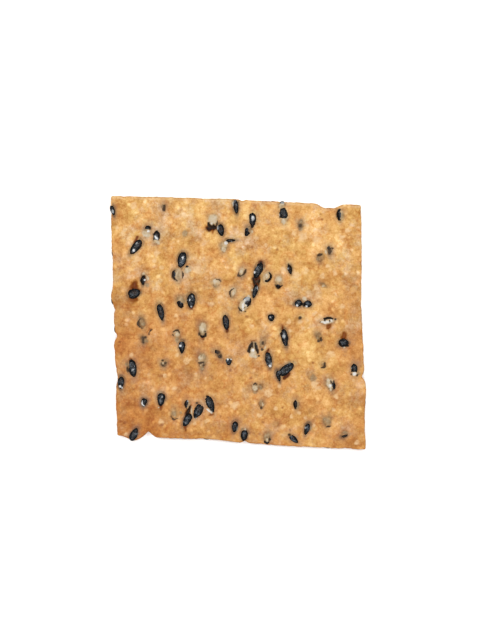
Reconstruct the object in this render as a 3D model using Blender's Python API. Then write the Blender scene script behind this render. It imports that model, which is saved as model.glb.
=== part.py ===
"""A square seed cracker: one thin baked sheet with a hand-cut outline and sesame seeds set in it.

The sheet lies flat. +Z is up, +X and +Y run along its sides, and the origin is under its middle,
on the plane that it rests on. Lengths below are in millimetres until place() turns them to metres.
"""

import math
import random
from collections import namedtuple

import bmesh
import bpy
from mathutils import Matrix, Vector
from mathutils.geometry import delaunay_2d_cdt

MM = 0.001

# Driving sizes
THICKNESS = 2.0
CORNERS = {
    "back_left": (-24.57, 24.37),
    "back_right": (23.60, 22.64),
    "front_right": (24.47, -24.47),
    "front_left": (-23.41, -21.77),
}
EDGE_ROUNDING = 0.30
CORNER_CUT = 0.30

# Nicks (in) and bulges (out) of the cut edges, walking clockwise round the sheet from each
# side's first corner: how far along, how far out, half width. After them, the seeds that the
# cut lays open: how far along, share of the thickness, length, width, lean in degrees.
Mark = namedtuple("Mark", "along out half_width")
CutSeed = namedtuple("CutSeed", "along share length width lean")
SIDES = (
    (
        "back_left",
        "back_right",
        (
            Mark(20.0, 0.18, 14.0),
            Mark(23.0, 0.16, 2.6),
            Mark(25.3, -0.30, 0.5),
            Mark(41.1, -0.70, 1.2),
            Mark(43.0, -0.80, 1.3),
        ),
        (
            CutSeed(9.0, 0.45, 2.4, 1.3, 8),
            CutSeed(31.5, 0.55, 2.1, 1.2, -10),
        ),
    ),
    (
        "back_right",
        "front_right",
        (
            Mark(18.0, -0.28, 7.0),
            Mark(33.1, -0.50, 0.7),
            Mark(35.8, 0.36, 2.6),
        ),
        (
            CutSeed(12.0, 0.45, 2.5, 1.3, -7),
            CutSeed(31.9, 0.55, 1.9, 1.1, 6),
            CutSeed(38.2, 0.50, 2.6, 1.2, 12),
        ),
    ),
    (
        "front_right",
        "front_left",
        (
            Mark(14.0, 0.16, 8.0),
            Mark(23.3, -0.40, 0.6),
            Mark(30.8, -0.25, 4.0),
            Mark(41.9, -1.05, 0.95),
            Mark(44.9, 0.72, 1.5),
        ),
        (
            CutSeed(7.5, 0.55, 2.1, 1.2, -9),
            CutSeed(17.6, 0.45, 2.4, 1.4, 5),
            CutSeed(30.9, 0.50, 2.0, 1.2, 12),
        ),
    ),
    (
        "front_left",
        "back_left",
        (
            Mark(11.3, -0.42, 1.5),
            Mark(17.2, 0.25, 0.7),
            Mark(19.2, -0.48, 0.8),
            Mark(24.2, -0.30, 0.6),
            Mark(26.8, 0.48, 1.5),
            Mark(38.0, 0.16, 4.0),
        ),
        (
            CutSeed(5.3, 0.55, 2.2, 1.2, 9),
            CutSeed(20.6, 0.50, 1.9, 1.2, -6),
            CutSeed(26.3, 0.45, 2.3, 1.3, -12),
            CutSeed(35.5, 0.50, 2.5, 1.3, 7),
        ),
    ),
)

# Meshing: a mark narrower than this gets edge points of its own
NARROW = 3.0
MARK_STATIONS = (-1.2, -0.55, 0.0, 0.55, 1.2)
EDGE_GAP = 0.2
EDGE_STEP = 1.25
TOP_STEP = 1.45
UNDER_STEP = 2.9
GRID_REACH = 30.0
JITTER = 0.16
MERGE = 1e-5

# Gentle waves of the rolled dough: wavelength, heading in degrees, height
TOP_WAVES = (
    (13.0, 20.0, 0.075),
    (8.5, 115.0, 0.060),
    (5.3, 62.0, 0.050),
    (3.7, 160.0, 0.045),
)

# Hollows that burst bubbles and shrinking dough leave beside the seeds
Hollow = namedtuple("Hollow", "x y radius depth")
HOLLOWS = (
    Hollow(-5.1, 18.3, 0.65, 0.55),
    Hollow(4.4, 11.4, 0.55, 0.45),
    Hollow(3.4, 7.8, 0.70, 0.50),
    Hollow(-20.1, 7.0, 0.85, 0.55),
    Hollow(-20.2, 4.4, 0.85, 0.45),
    Hollow(17.3, -0.8, 0.65, 0.50),
    Hollow(20.3, -2.6, 0.75, 0.50),
    Hollow(9.2, -10.3, 0.65, 0.50),
    Hollow(-9.5, -16.9, 0.50, 0.45),
    Hollow(-5.3, -17.7, 0.50, 0.35),
    Hollow(-19.7, 15.9, 0.60, 0.35),
    Hollow(-2.2, -1.3, 0.55, 0.40),
    Hollow(-9.1, 3.0, 0.55, 0.40),
    Hollow(-20.6, -7.5, 0.65, 0.40),
)
HOLLOW_SIDES = 6
HOLLOW_RIM = 1.25

# Seeds: where the middle lies, the heading of the pointed end, length and width.
Seed = namedtuple("Seed", "x y heading length width")
SEED_THICKNESS = 0.95
EXPOSED_RISE = 0.36
COVERED_RISE = 0.22
SEED_STATIONS = (-0.66, -0.08, 0.56)
SEED_SIDES = 6
SEED_TAPER = 0.20

EXPOSED_SEEDS = (
    Seed(-24.0, 21.6, -74, 1.9, 0.9),
    Seed(-15.8, 16.6, -96, 2.2, 1.2),
    Seed(-19.8, 14.5, -128, 3.4, 1.5),
    Seed(-0.5, 22.3, -84, 2.7, 1.0),
    Seed(-3.4, 17.8, -78, 2.4, 1.3),
    Seed(-10.9, 12.0, -104, 3.2, 1.6),
    Seed(2.6, 19.7, -88, 3.1, 1.3),
    Seed(8.7, 20.5, -81, 3.4, 1.5),
    Seed(-18.4, 8.1, -93, 1.8, 0.9),
    Seed(-20.1, 5.6, 16, 2.4, 1.5),
    Seed(-15.0, 1.9, -78, 3.3, 1.3),
    Seed(-9.1, 4.2, -94, 2.8, 1.7),
    Seed(-2.4, 0.0, -84, 2.9, 1.2),
    Seed(3.8, 10.0, -115, 3.2, 1.5),
    Seed(3.2, 6.0, -105, 2.6, 1.0),
    Seed(9.9, 10.2, -77, 1.8, 0.9),
    Seed(1.2, 3.5, -121, 3.4, 1.7),
    Seed(6.3, 0.9, -90, 1.6, 1.5),
    Seed(11.5, 3.7, 195, 1.6, 1.3),
    Seed(13.4, 3.6, -15, 1.6, 1.3),
    Seed(17.2, 0.4, 10, 2.8, 1.3),
    Seed(-20.5, -8.8, -79, 3.4, 1.7),
    Seed(-22.5, -11.6, -90, 2.6, 1.3),
    Seed(-10.9, -4.8, -92, 2.6, 1.3),
    Seed(-1.9, -7.5, -90, 1.6, 1.3),
    Seed(5.8, -7.2, -79, 3.0, 1.3),
    Seed(8.9, -3.0, -80, 3.4, 1.3),
    Seed(9.3, -9.0, -142, 3.4, 1.7),
    Seed(7.7, -10.3, -77, 2.1, 0.9),
    Seed(20.3, -3.9, 0, 1.95, 1.5),
    Seed(22.2, -9.2, -92, 2.5, 1.2),
    Seed(17.8, -12.0, -74, 2.8, 1.7),
    Seed(-18.2, -15.5, -101, 1.6, 1.3),
    Seed(-14.9, -14.8, -96, 2.5, 1.5),
    Seed(-9.9, -18.8, -118, 2.6, 1.5),
    Seed(-7.9, -17.1, -108, 2.8, 1.7),
    Seed(-5.5, -15.7, -69, 3.3, 1.5),
    Seed(-0.7, -20.1, -99, 2.3, 1.2),
    Seed(-20.1, -21.6, 83, 2.4, 1.7),
    Seed(1.1, -21.8, -86, 2.1, 1.5),
    Seed(10.6, -22.4, -43, 2.2, 1.0),
    Seed(13.2, -20.5, -107, 2.3, 1.0),
)
COVERED_SEEDS = (
    Seed(-17.6, 17.6, -102, 2.4, 1.2),
    Seed(-4.9, 19.8, -99, 2.5, 1.8),
    Seed(-2.9, 14.6, -95, 2.1, 1.5),
    Seed(8.4, 22.3, -99, 1.8, 1.2),
    Seed(11.8, 18.8, -90, 2.3, 1.3),
    Seed(19.7, 20.7, -90, 2.3, 1.2),
    Seed(17.5, 13.8, -85, 2.3, 1.3),
    Seed(15.7, 12.4, -90, 1.9, 1.5),
    Seed(-18.6, -0.1, -76, 2.8, 1.3),
    Seed(-11.8, 9.1, -82, 2.9, 1.9),
    Seed(-4.3, 7.5, -90, 1.8, 1.5),
    Seed(-11.2, 3.9, -85, 2.3, 1.3),
    Seed(-1.1, 5.8, -90, 2.1, 1.5),
    Seed(0.7, 9.7, -101, 2.1, 1.5),
    Seed(5.5, 8.8, -97, 2.3, 1.7),
    Seed(7.8, 7.9, -90, 2.4, 1.5),
    Seed(-18.3, -3.4, -84, 1.9, 1.2),
    Seed(-11.9, -2.5, -75, 2.3, 1.3),
    Seed(-6.9, -1.5, -93, 3.2, 1.5),
    Seed(-7.0, -7.4, -90, 3.5, 1.7),
    Seed(-3.8, -6.2, -58, 2.2, 1.0),
    Seed(3.0, -5.2, -82, 3.3, 1.6),
    Seed(4.7, -3.9, -99, 2.5, 1.0),
    Seed(3.3, -12.6, -90, 1.7, 1.3),
    Seed(15.5, -2.6, -69, 2.2, 1.2),
    Seed(16.3, -8.2, -90, 1.7, 1.2),
    Seed(-12.4, -17.6, -92, 2.3, 1.3),
    Seed(-9.9, -15.8, -87, 1.7, 1.0),
    Seed(5.5, -22.3, -92, 2.1, 1.2),
    Seed(17.1, -19.0, -85, 2.3, 1.7),
    Seed(4.5, -15.8, -90, 2.0, 1.2),
)

# How far the seeds of the cut stand out of it
CUT_SEED_RISE = 0.10

# Seeds of the underside, each in a shallow dent and just clear of the plane below
UNDER_SEEDS = 22
UNDER_REACH = 20.5
UNDER_GAP = 4.6
UNDER_CLEAR = 0.04
DENT_DEPTH = 0.42
DENT_RIMS = (0.75, 1.55)
DENT_SIDES = 6
SEED_LENGTHS = (2.3, 3.3)
SEED_WIDTHS = (1.2, 1.7)

DOUGH_COLOUR = (0.70, 0.38, 0.13, 1.0)
SEED_COLOUR = (0.012, 0.012, 0.014, 1.0)


def clear_scene():
    for thing in list(bpy.data.objects):
        bpy.data.objects.remove(thing, do_unlink=True)


def material(name, colour, roughness):
    made = bpy.data.materials.new(name)
    made.use_nodes = True
    shader = made.node_tree.nodes["Principled BSDF"]
    shader.inputs["Base Color"].default_value = colour
    shader.inputs["Roughness"].default_value = roughness
    shader.inputs["Metallic"].default_value = 0.0
    return made


def bell(distance, half_width):
    return math.exp(-((distance / half_width) ** 2))


def side_frame(first, last):
    """A side's first corner, the way it runs, the way out of the sheet, and its length."""
    start = Vector(CORNERS[first])
    along = Vector(CORNERS[last]) - start
    length = along.length
    along.normalize()
    return start, along, Vector((-along.y, along.x)), length


def out_at(station, marks):
    return sum(mark.out * bell(station - mark.along, mark.half_width) for mark in marks)


def side_points(first, last, marks):
    """Points along one cut side, from its first corner up to just before its last."""
    start, along, outward, length = side_frame(first, last)
    count = round(length / EDGE_STEP)
    stations = {length * i / count for i in range(1, count)}
    for mark in marks:
        if mark.half_width < NARROW:
            reach = MARK_STATIONS[-1] * mark.half_width
            stations -= {s for s in stations if abs(s - mark.along) < reach}
            stations |= {mark.along + k * mark.half_width for k in MARK_STATIONS}
    stations |= {CORNER_CUT, length - CORNER_CUT}
    points = []
    for station in sorted(s for s in stations if CORNER_CUT <= s <= length - CORNER_CUT):
        points.append(start + along * station + outward * out_at(station, marks))
    return points


def thinned(points, least):
    """The ring without points that crowd the one before."""
    kept = [points[0]]
    for point in points[1:]:
        if (point - kept[-1]).length > least:
            kept.append(point)
    return kept


def outline():
    """The sheet's outline, clockwise seen from above."""
    points = []
    for first, last, marks, _ in SIDES:
        points += side_points(first, last, marks)
    return thinned(points, EDGE_GAP)


def heading_at(ring, i):
    """The way the ring runs at a point, halfway between its two sides there."""
    before = (ring[i] - ring[i - 1]).normalized()
    after = (ring[(i + 1) % len(ring)] - ring[i]).normalized()
    return (before + after).normalized()


def inset(ring, depth):
    moved = []
    for i, point in enumerate(ring):
        along = heading_at(ring, i)
        moved.append(point + Vector((along.y, -along.x)) * depth)
    return moved


def is_inside(point, ring):
    inside = False
    for i, a in enumerate(ring):
        b = ring[i - 1]
        if (a.y > point.y) != (b.y > point.y):
            if point.x < (b.x - a.x) * (point.y - a.y) / (b.y - a.y) + a.x:
                inside = not inside
    return inside


def dough_z(point):
    """Height of the top, waves and all, as it would be without its hollows."""
    wave = 0.0
    for length, heading, height in TOP_WAVES:
        turn = math.radians(heading)
        run = point.x * math.cos(turn) + point.y * math.sin(turn)
        wave += height * math.sin(2 * math.pi * run / length)
    return THICKNESS + wave


def top_z(point):
    z = dough_z(point)
    for hollow in HOLLOWS:
        away = math.hypot(point.x - hollow.x, point.y - hollow.y)
        z -= hollow.depth * bell(away, hollow.radius)
    return z


def rim(middle, radius, sides):
    turns = [2 * math.pi * k / sides for k in range(sides)]
    return [middle + Vector((math.cos(turn), math.sin(turn))) * radius for turn in turns]


def hollow_points():
    """A middle and a rim for each hollow."""
    points = []
    for hollow in HOLLOWS:
        middle = Vector((hollow.x, hollow.y))
        points.append(middle)
        points += rim(middle, HOLLOW_RIM * hollow.radius, HOLLOW_SIDES)
    return points


def under_places():
    """Seeds of the underside, drawn at random, clear of each other, the edge and the middle."""
    draw = random.Random(37)
    places = []
    while len(places) < UNDER_SEEDS:
        x, y = draw.uniform(-UNDER_REACH, UNDER_REACH), draw.uniform(-UNDER_REACH, UNDER_REACH)
        length, width = draw.uniform(*SEED_LENGTHS), draw.uniform(*SEED_WIDTHS)
        heading = draw.uniform(0, 360)
        taken = [(0, 0)] + [(seed.x, seed.y) for seed in places]
        if min(math.dist((x, y), spot) for spot in taken) > UNDER_GAP:
            places.append(Seed(x, y, heading, length, width))
    return places


def dent_points(places):
    """A middle and two rims for the dent round each seed of the underside."""
    points = []
    for seed in places:
        middle = Vector((seed.x, seed.y))
        points.append(middle)
        for radius in DENT_RIMS:
            points += rim(middle, radius, DENT_SIDES)
    return points


def under_height(places):
    """Height of the underside: flat, with a dent round each of its seeds."""
    reach = DENT_RIMS[-1] + MERGE

    def height(point):
        for seed in places:
            away = math.hypot(point.x - seed.x, point.y - seed.y)
            if away < reach:
                return DENT_DEPTH * max(0.0, 1 - away / DENT_RIMS[-1])
        return 0.0

    return height


def filling(ring, step, draw, fixed):
    """Loose triangular grid of points inside the ring, clear of the fixed points, and those too."""
    limit = inset(ring, 0.45 * step)
    row_step = step * math.sqrt(3) / 2
    reach = GRID_REACH
    rows = int(2 * reach / row_step)
    points = list(fixed)
    for row in range(rows):
        for column in range(int(2 * reach / step)):
            x = -reach + step * (column + 0.5 * (row % 2)) + draw.uniform(-1, 1) * JITTER * step
            y = -reach + row_step * row + draw.uniform(-1, 1) * JITTER * step
            point = Vector((x, y))
            crowded = any((point - other).length < 0.5 * step for other in fixed)
            if is_inside(point, limit) and not crowded:
                points.append(point)
    return points


def triangles_within(ring, inner):
    """Triangles that fill the ring, by the numbers of its points and then the inner ones."""
    points = ring + inner
    count = len(ring)
    border = [(i, (i + 1) % count) for i in range(count)]
    found = delaunay_2d_cdt(points, border, [], 0, MERGE, True)
    triangles = [[found[3][i][0] for i in face] for face in found[2]]
    middles = [(points[a] + points[b] + points[c]) / 3 for a, b, c in triangles]
    return [face for face, middle in zip(triangles, middles) if is_inside(middle, ring)]


def add_face_sheet(bm, ring, ring_verts, step, height, draw, fixed=()):
    inner = filling(ring, step, draw, fixed)
    inner_verts = [bm.verts.new((p.x, p.y, height(p))) for p in inner]
    verts = ring_verts + inner_verts
    for face in triangles_within(ring, inner):
        bm.faces.new([verts[i] for i in face])


def add_ring(bm, ring, height):
    return [bm.verts.new((p.x, p.y, height(p))) for p in ring]


def add_band(bm, lower, upper):
    count = len(lower)
    for i in range(count):
        j = (i + 1) % count
        bm.faces.new((lower[i], upper[i], upper[j], lower[j]))


def make_sheet(dough, places):
    """The baked sheet without its seeds."""
    draw = random.Random(11)
    edge = outline()
    face = inset(edge, EDGE_ROUNDING)
    bm = bmesh.new()
    under = add_ring(bm, face, lambda p: 0.0)
    low = add_ring(bm, edge, lambda p: EDGE_ROUNDING)
    high = add_ring(bm, edge, lambda p: top_z(p) - EDGE_ROUNDING)
    top = add_ring(bm, face, top_z)
    add_band(bm, under, low)
    add_band(bm, low, high)
    add_band(bm, high, top)
    add_face_sheet(bm, face, top, TOP_STEP, top_z, draw, hollow_points())
    add_face_sheet(bm, face, under, UNDER_STEP, under_height(places), draw, dent_points(places))
    bmesh.ops.recalc_face_normals(bm, faces=bm.faces)
    return place(bm, "cracker", dough)


def place(bm, name, finish):
    """Turns millimetres to metres and puts the mesh in the scene."""
    bmesh.ops.scale(bm, vec=(MM, MM, MM), verts=bm.verts)
    mesh = bpy.data.meshes.new(name)
    bm.to_mesh(mesh)
    bm.free()
    mesh.materials.append(finish)
    made = bpy.data.objects.new(name, mesh)
    bpy.context.scene.collection.objects.link(made)
    return made


def seed_form(length, width):
    """A teardrop with its point along +X: rings of six round the long axis, closed at both ends."""
    bm = bmesh.new()
    rings = []
    for station in SEED_STATIONS:
        girth = math.sqrt(1 - station * station) * (1 - SEED_TAPER * station)
        ring = []
        for k in range(SEED_SIDES):
            turn = 2 * math.pi * (k + 0.5) / SEED_SIDES
            y = 0.5 * width * girth * math.cos(turn)
            z = 0.5 * SEED_THICKNESS * girth * math.sin(turn)
            ring.append(bm.verts.new((0.5 * length * station, y, z)))
        rings.append(ring)
    blunt = bm.verts.new((-0.5 * length, 0, 0))
    point = bm.verts.new((0.5 * length, 0, 0))
    for k in range(SEED_SIDES):
        n = (k + 1) % SEED_SIDES
        bm.faces.new((blunt, rings[0][n], rings[0][k]))
        bm.faces.new((point, rings[-1][k], rings[-1][n]))
        for near, far in zip(rings, rings[1:]):
            bm.faces.new((near[k], near[n], far[n], far[k]))
    bmesh.ops.recalc_face_normals(bm, faces=bm.faces)
    return bm


def add_seed(seed, z, finish, pitch=0.0, roll=0.0):
    bm = seed_form(seed.length, seed.width)
    turn = Matrix.Rotation(math.radians(seed.heading), 4, "Z")
    lean = Matrix.Rotation(math.radians(pitch), 4, "Y") @ Matrix.Rotation(math.radians(roll), 4, "X")
    bmesh.ops.transform(bm, matrix=Matrix.Translation((seed.x, seed.y, z)) @ turn @ lean, verts=bm.verts)
    return place(bm, "seed", finish)


def top_seeds(finish):
    """The seeds that show from above, bare or as a mound under a film of dough."""
    draw = random.Random(23)
    made = []
    for seeds, rise in ((EXPOSED_SEEDS, EXPOSED_RISE), (COVERED_SEEDS, COVERED_RISE)):
        for seed in seeds:
            z = dough_z(Vector((seed.x, seed.y))) + rise - 0.5 * SEED_THICKNESS
            made.append(add_seed(seed, z, finish, draw.uniform(-5, 5), draw.uniform(-8, 8)))
    return made


def under_seeds(places, finish):
    z = UNDER_CLEAR + 0.5 * SEED_THICKNESS
    return [add_seed(seed, z, finish) for seed in places]


def cut_seeds(finish):
    """The seeds that the cut edges lay open, lying along them."""
    made = []
    for first, last, marks, seeds in SIDES:
        start, along, outward, _ = side_frame(first, last)
        heading = math.degrees(math.atan2(along.y, along.x))
        for seed in seeds:
            out = out_at(seed.along, marks) + CUT_SEED_RISE - 0.5 * seed.width
            spot = start + along * seed.along + outward * out
            lying = Seed(spot.x, spot.y, heading, seed.length, seed.width)
            made.append(add_seed(lying, THICKNESS * seed.share, finish, seed.lean))
    return made


def fuse(sheet, seeds):
    """Joins the seeds to the sheet in one union and drops the loose copies."""
    group = bpy.data.collections.new("seeds")
    bpy.context.scene.collection.children.link(group)
    for seed in seeds:
        bpy.context.scene.collection.objects.unlink(seed)
        group.objects.link(seed)
    union = sheet.modifiers.new("seeds", "BOOLEAN")
    union.operation = "UNION"
    union.operand_type = "COLLECTION"
    union.collection = group
    union.solver = "EXACT"
    union.material_mode = "TRANSFER"
    bpy.context.view_layer.update()
    graph = bpy.context.evaluated_depsgraph_get()
    fused = bpy.data.meshes.new_from_object(sheet.evaluated_get(graph))
    sheet.modifiers.clear()
    sheet.data = fused
    for seed in seeds:
        bpy.data.objects.remove(seed, do_unlink=True)
    bpy.data.collections.remove(group)


def main():
    clear_scene()
    dough = material("baked_dough", DOUGH_COLOUR, 0.75)
    hull = material("black_seed", SEED_COLOUR, 0.35)
    places = under_places()
    sheet = make_sheet(dough, places)
    fuse(sheet, top_seeds(hull) + under_seeds(places, hull) + cut_seeds(hull))
    sheet.data.name = "cracker"


main()
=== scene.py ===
# The looks of the seed cracker: its dough and its black sesame seeds, on a plain white table.
#
# Lengths are in millimetres until add_piece() turns them to metres. Only the table, the lamps and
# the camera are placed in metres. The outline, the hollows and the seeds lie where the solid has
# them, with the finer relief and the colours that show close up.

import math
import random
from collections import namedtuple
from itertools import product

import bpy
import numpy as np
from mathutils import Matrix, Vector


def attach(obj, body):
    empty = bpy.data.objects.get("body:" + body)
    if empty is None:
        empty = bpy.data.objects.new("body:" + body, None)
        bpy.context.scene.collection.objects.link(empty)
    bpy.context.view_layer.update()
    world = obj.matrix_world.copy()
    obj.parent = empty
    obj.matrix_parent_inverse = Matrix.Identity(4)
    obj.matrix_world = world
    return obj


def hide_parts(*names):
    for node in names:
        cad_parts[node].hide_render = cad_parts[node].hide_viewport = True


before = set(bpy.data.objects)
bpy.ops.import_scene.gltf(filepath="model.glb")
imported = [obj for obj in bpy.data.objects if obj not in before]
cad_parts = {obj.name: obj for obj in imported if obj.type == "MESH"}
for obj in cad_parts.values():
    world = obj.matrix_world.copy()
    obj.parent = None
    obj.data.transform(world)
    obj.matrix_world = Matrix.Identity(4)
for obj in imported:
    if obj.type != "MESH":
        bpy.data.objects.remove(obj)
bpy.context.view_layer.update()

MM = 0.001

# ---- the sheet, as in the solid

THICKNESS = 2.0
CORNERS = {
    "back_left": (-24.57, 24.37),
    "back_right": (23.60, 22.64),
    "front_right": (24.47, -24.47),
    "front_left": (-23.41, -21.77),
}

# Nicks (in) and bulges (out) of the cut edges, walking clockwise round the sheet from each
# side's first corner: how far along, how far out, half width. After them, the seeds that the
# cut lays open: how far along, share of the thickness, length, width, lean in degrees.
Mark = namedtuple("Mark", "along out half_width")
CutSeed = namedtuple("CutSeed", "along share length width lean")


def cut_side(first, last, marks, seeds):
    return first, last, [Mark(*row) for row in marks], [CutSeed(*row) for row in seeds]


SIDES = (
    cut_side(
        "back_left",
        "back_right",
        (
            (20.0, 0.18, 14.0), (23.0, 0.16, 2.6), (25.3, -0.30, 0.5), (41.1, -0.70, 1.2),
            (43.0, -0.80, 1.3),
        ),
        (
            (9.0, 0.45, 2.4, 1.3, 8), (31.5, 0.55, 2.1, 1.2, -10),
        ),
    ),
    cut_side(
        "back_right",
        "front_right",
        (
            (18.0, -0.28, 7.0), (33.1, -0.50, 0.7), (35.8, 0.36, 2.6),
        ),
        (
            (12.0, 0.45, 2.5, 1.3, -7), (31.9, 0.55, 1.9, 1.1, 6), (38.2, 0.50, 2.6, 1.2, 12),
        ),
    ),
    cut_side(
        "front_right",
        "front_left",
        (
            (14.0, 0.16, 8.0), (23.3, -0.40, 0.6), (30.8, -0.25, 4.0), (41.9, -1.05, 0.95),
            (44.9, 0.72, 1.5),
        ),
        (
            (7.5, 0.55, 2.1, 1.2, -9), (17.6, 0.45, 2.4, 1.4, 5), (30.9, 0.50, 2.0, 1.2, 12),
        ),
    ),
    cut_side(
        "front_left",
        "back_left",
        (
            (11.3, -0.42, 1.5), (17.2, 0.25, 0.7), (19.2, -0.48, 0.8), (24.2, -0.30, 0.6),
            (26.8, 0.48, 1.5), (38.0, 0.16, 4.0),
        ),
        (
            (5.3, 0.55, 2.2, 1.2, 9), (20.6, 0.50, 1.9, 1.2, -6), (26.3, 0.45, 2.3, 1.3, -12),
            (35.5, 0.50, 2.5, 1.3, 7),
        ),
    ),
)

# Gentle waves of the rolled dough: wavelength, heading in degrees, height
TOP_WAVES = (
    (13.0, 20.0, 0.075), (8.5, 115.0, 0.060), (5.3, 62.0, 0.050), (3.7, 160.0, 0.045),
)

# Fine unevenness: the size of its lumps and their height
RAGGED = ((1.6, 0.07), (0.7, 0.05), (0.35, 0.03))  # of the cut outline
SKIN = ((2.3, 0.035), (1.2, 0.032), (0.65, 0.024), (0.4, 0.014))  # of the top
CRUMB = ((1.1, 0.05), (0.5, 0.035))  # of the cut sides, outwards
STRAY = ((0.8, 0.03),)  # of the cut sides, up and down
PEBBLED = ((1.3, 0.02), (0.7, 0.015))  # of the underside

# Hollows that burst bubbles and shrinking dough leave beside the seeds. Each is a groove that
# narrows from one end to the other: x, y, x, y, radius, depth, and how dark it is baked.
Hollow = namedtuple("Hollow", "x y to_x to_y radius depth dark")
HOLLOWS = [
    Hollow(*row)
    for row in (
        (-5.7, 18.15, -4.4, 18.2, 0.60, 0.55, 1.00), (-5.0, 17.9, -5.0, 17.2, 0.35, 0.10, 0.15),
        (-19.85, 15.5, -19.5, 16.5, 0.45, 0.30, 0.50), (-20.1, 6.3, -20.05, 7.5, 1.05, 0.55, 0.50),
        (-20.6, 4.5, -19.7, 4.5, 0.72, 0.45, 0.35), (3.5, 8.4, 3.3, 7, 0.75, 0.50, 0.85),
        (4.3, 11.55, 4.45, 11.3, 0.45, 0.45, 1.00), (-2.2, -0.9, -2.2, -1.7, 0.45, 0.40, 0.70),
        (-9.1, 3.3, -9.1, 2.7, 0.45, 0.40, 0.70), (17.45, -0.55, 17.2, -1.1, 0.55, 0.50, 0.40),
        (20.3, -3.1, 20.35, -2.1, 0.65, 0.50, 0.40), (-20.55, -7.9, -20.75, -7.1, 0.65, 0.40, 0.45),
        (2.1, -5, 2.65, -3.6, 0.28, 0.35, 0.50), (3.6, -5.4, 3, -3.6, 0.30, 0.35, 0.60),
        (5.45, -5.9, 5.8, -5.1, 0.27, 0.35, 0.60), (8.6, -1.6, 8.45, -0.7, 0.27, 0.30, 0.55),
        (9.6, -9.9, 8.75, -10.8, 0.50, 0.50, 0.75), (-9.9, -17.7, -9.3, -16.1, 0.48, 0.45, 1.00),
        (-10.25, -20.1, -10.2, -20.8, 0.40, 0.30, 0.40), (-5, -17.65, -5.6, -17.85, 0.27, 0.30, 0.35),
        (-15, -16.1, -15, -16.85, 0.38, 0.35, 0.40), (8.5, 22, 8.5, 21.9, 0.25, 0.30, 0.60),
        (-6.9, -2.9, -6.8, -3.3, 0.40, 0.35, 0.50),
    )
]
HOLLOW_TAPER = 0.45  # how much a hollow narrows
HOLLOW_WOBBLE = 0.30  # how uneven its border is
HOLLOW_RIM = (1.30, 0.75)  # where its brown rim starts and is full, in radii
HOLLOW_FLOOR = (1.0, 0.3)  # where its darkest floor does
FLOOR_SHARE = 0.45  # the share of the browning that only the floor has

# ---- seeds of the top

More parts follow.
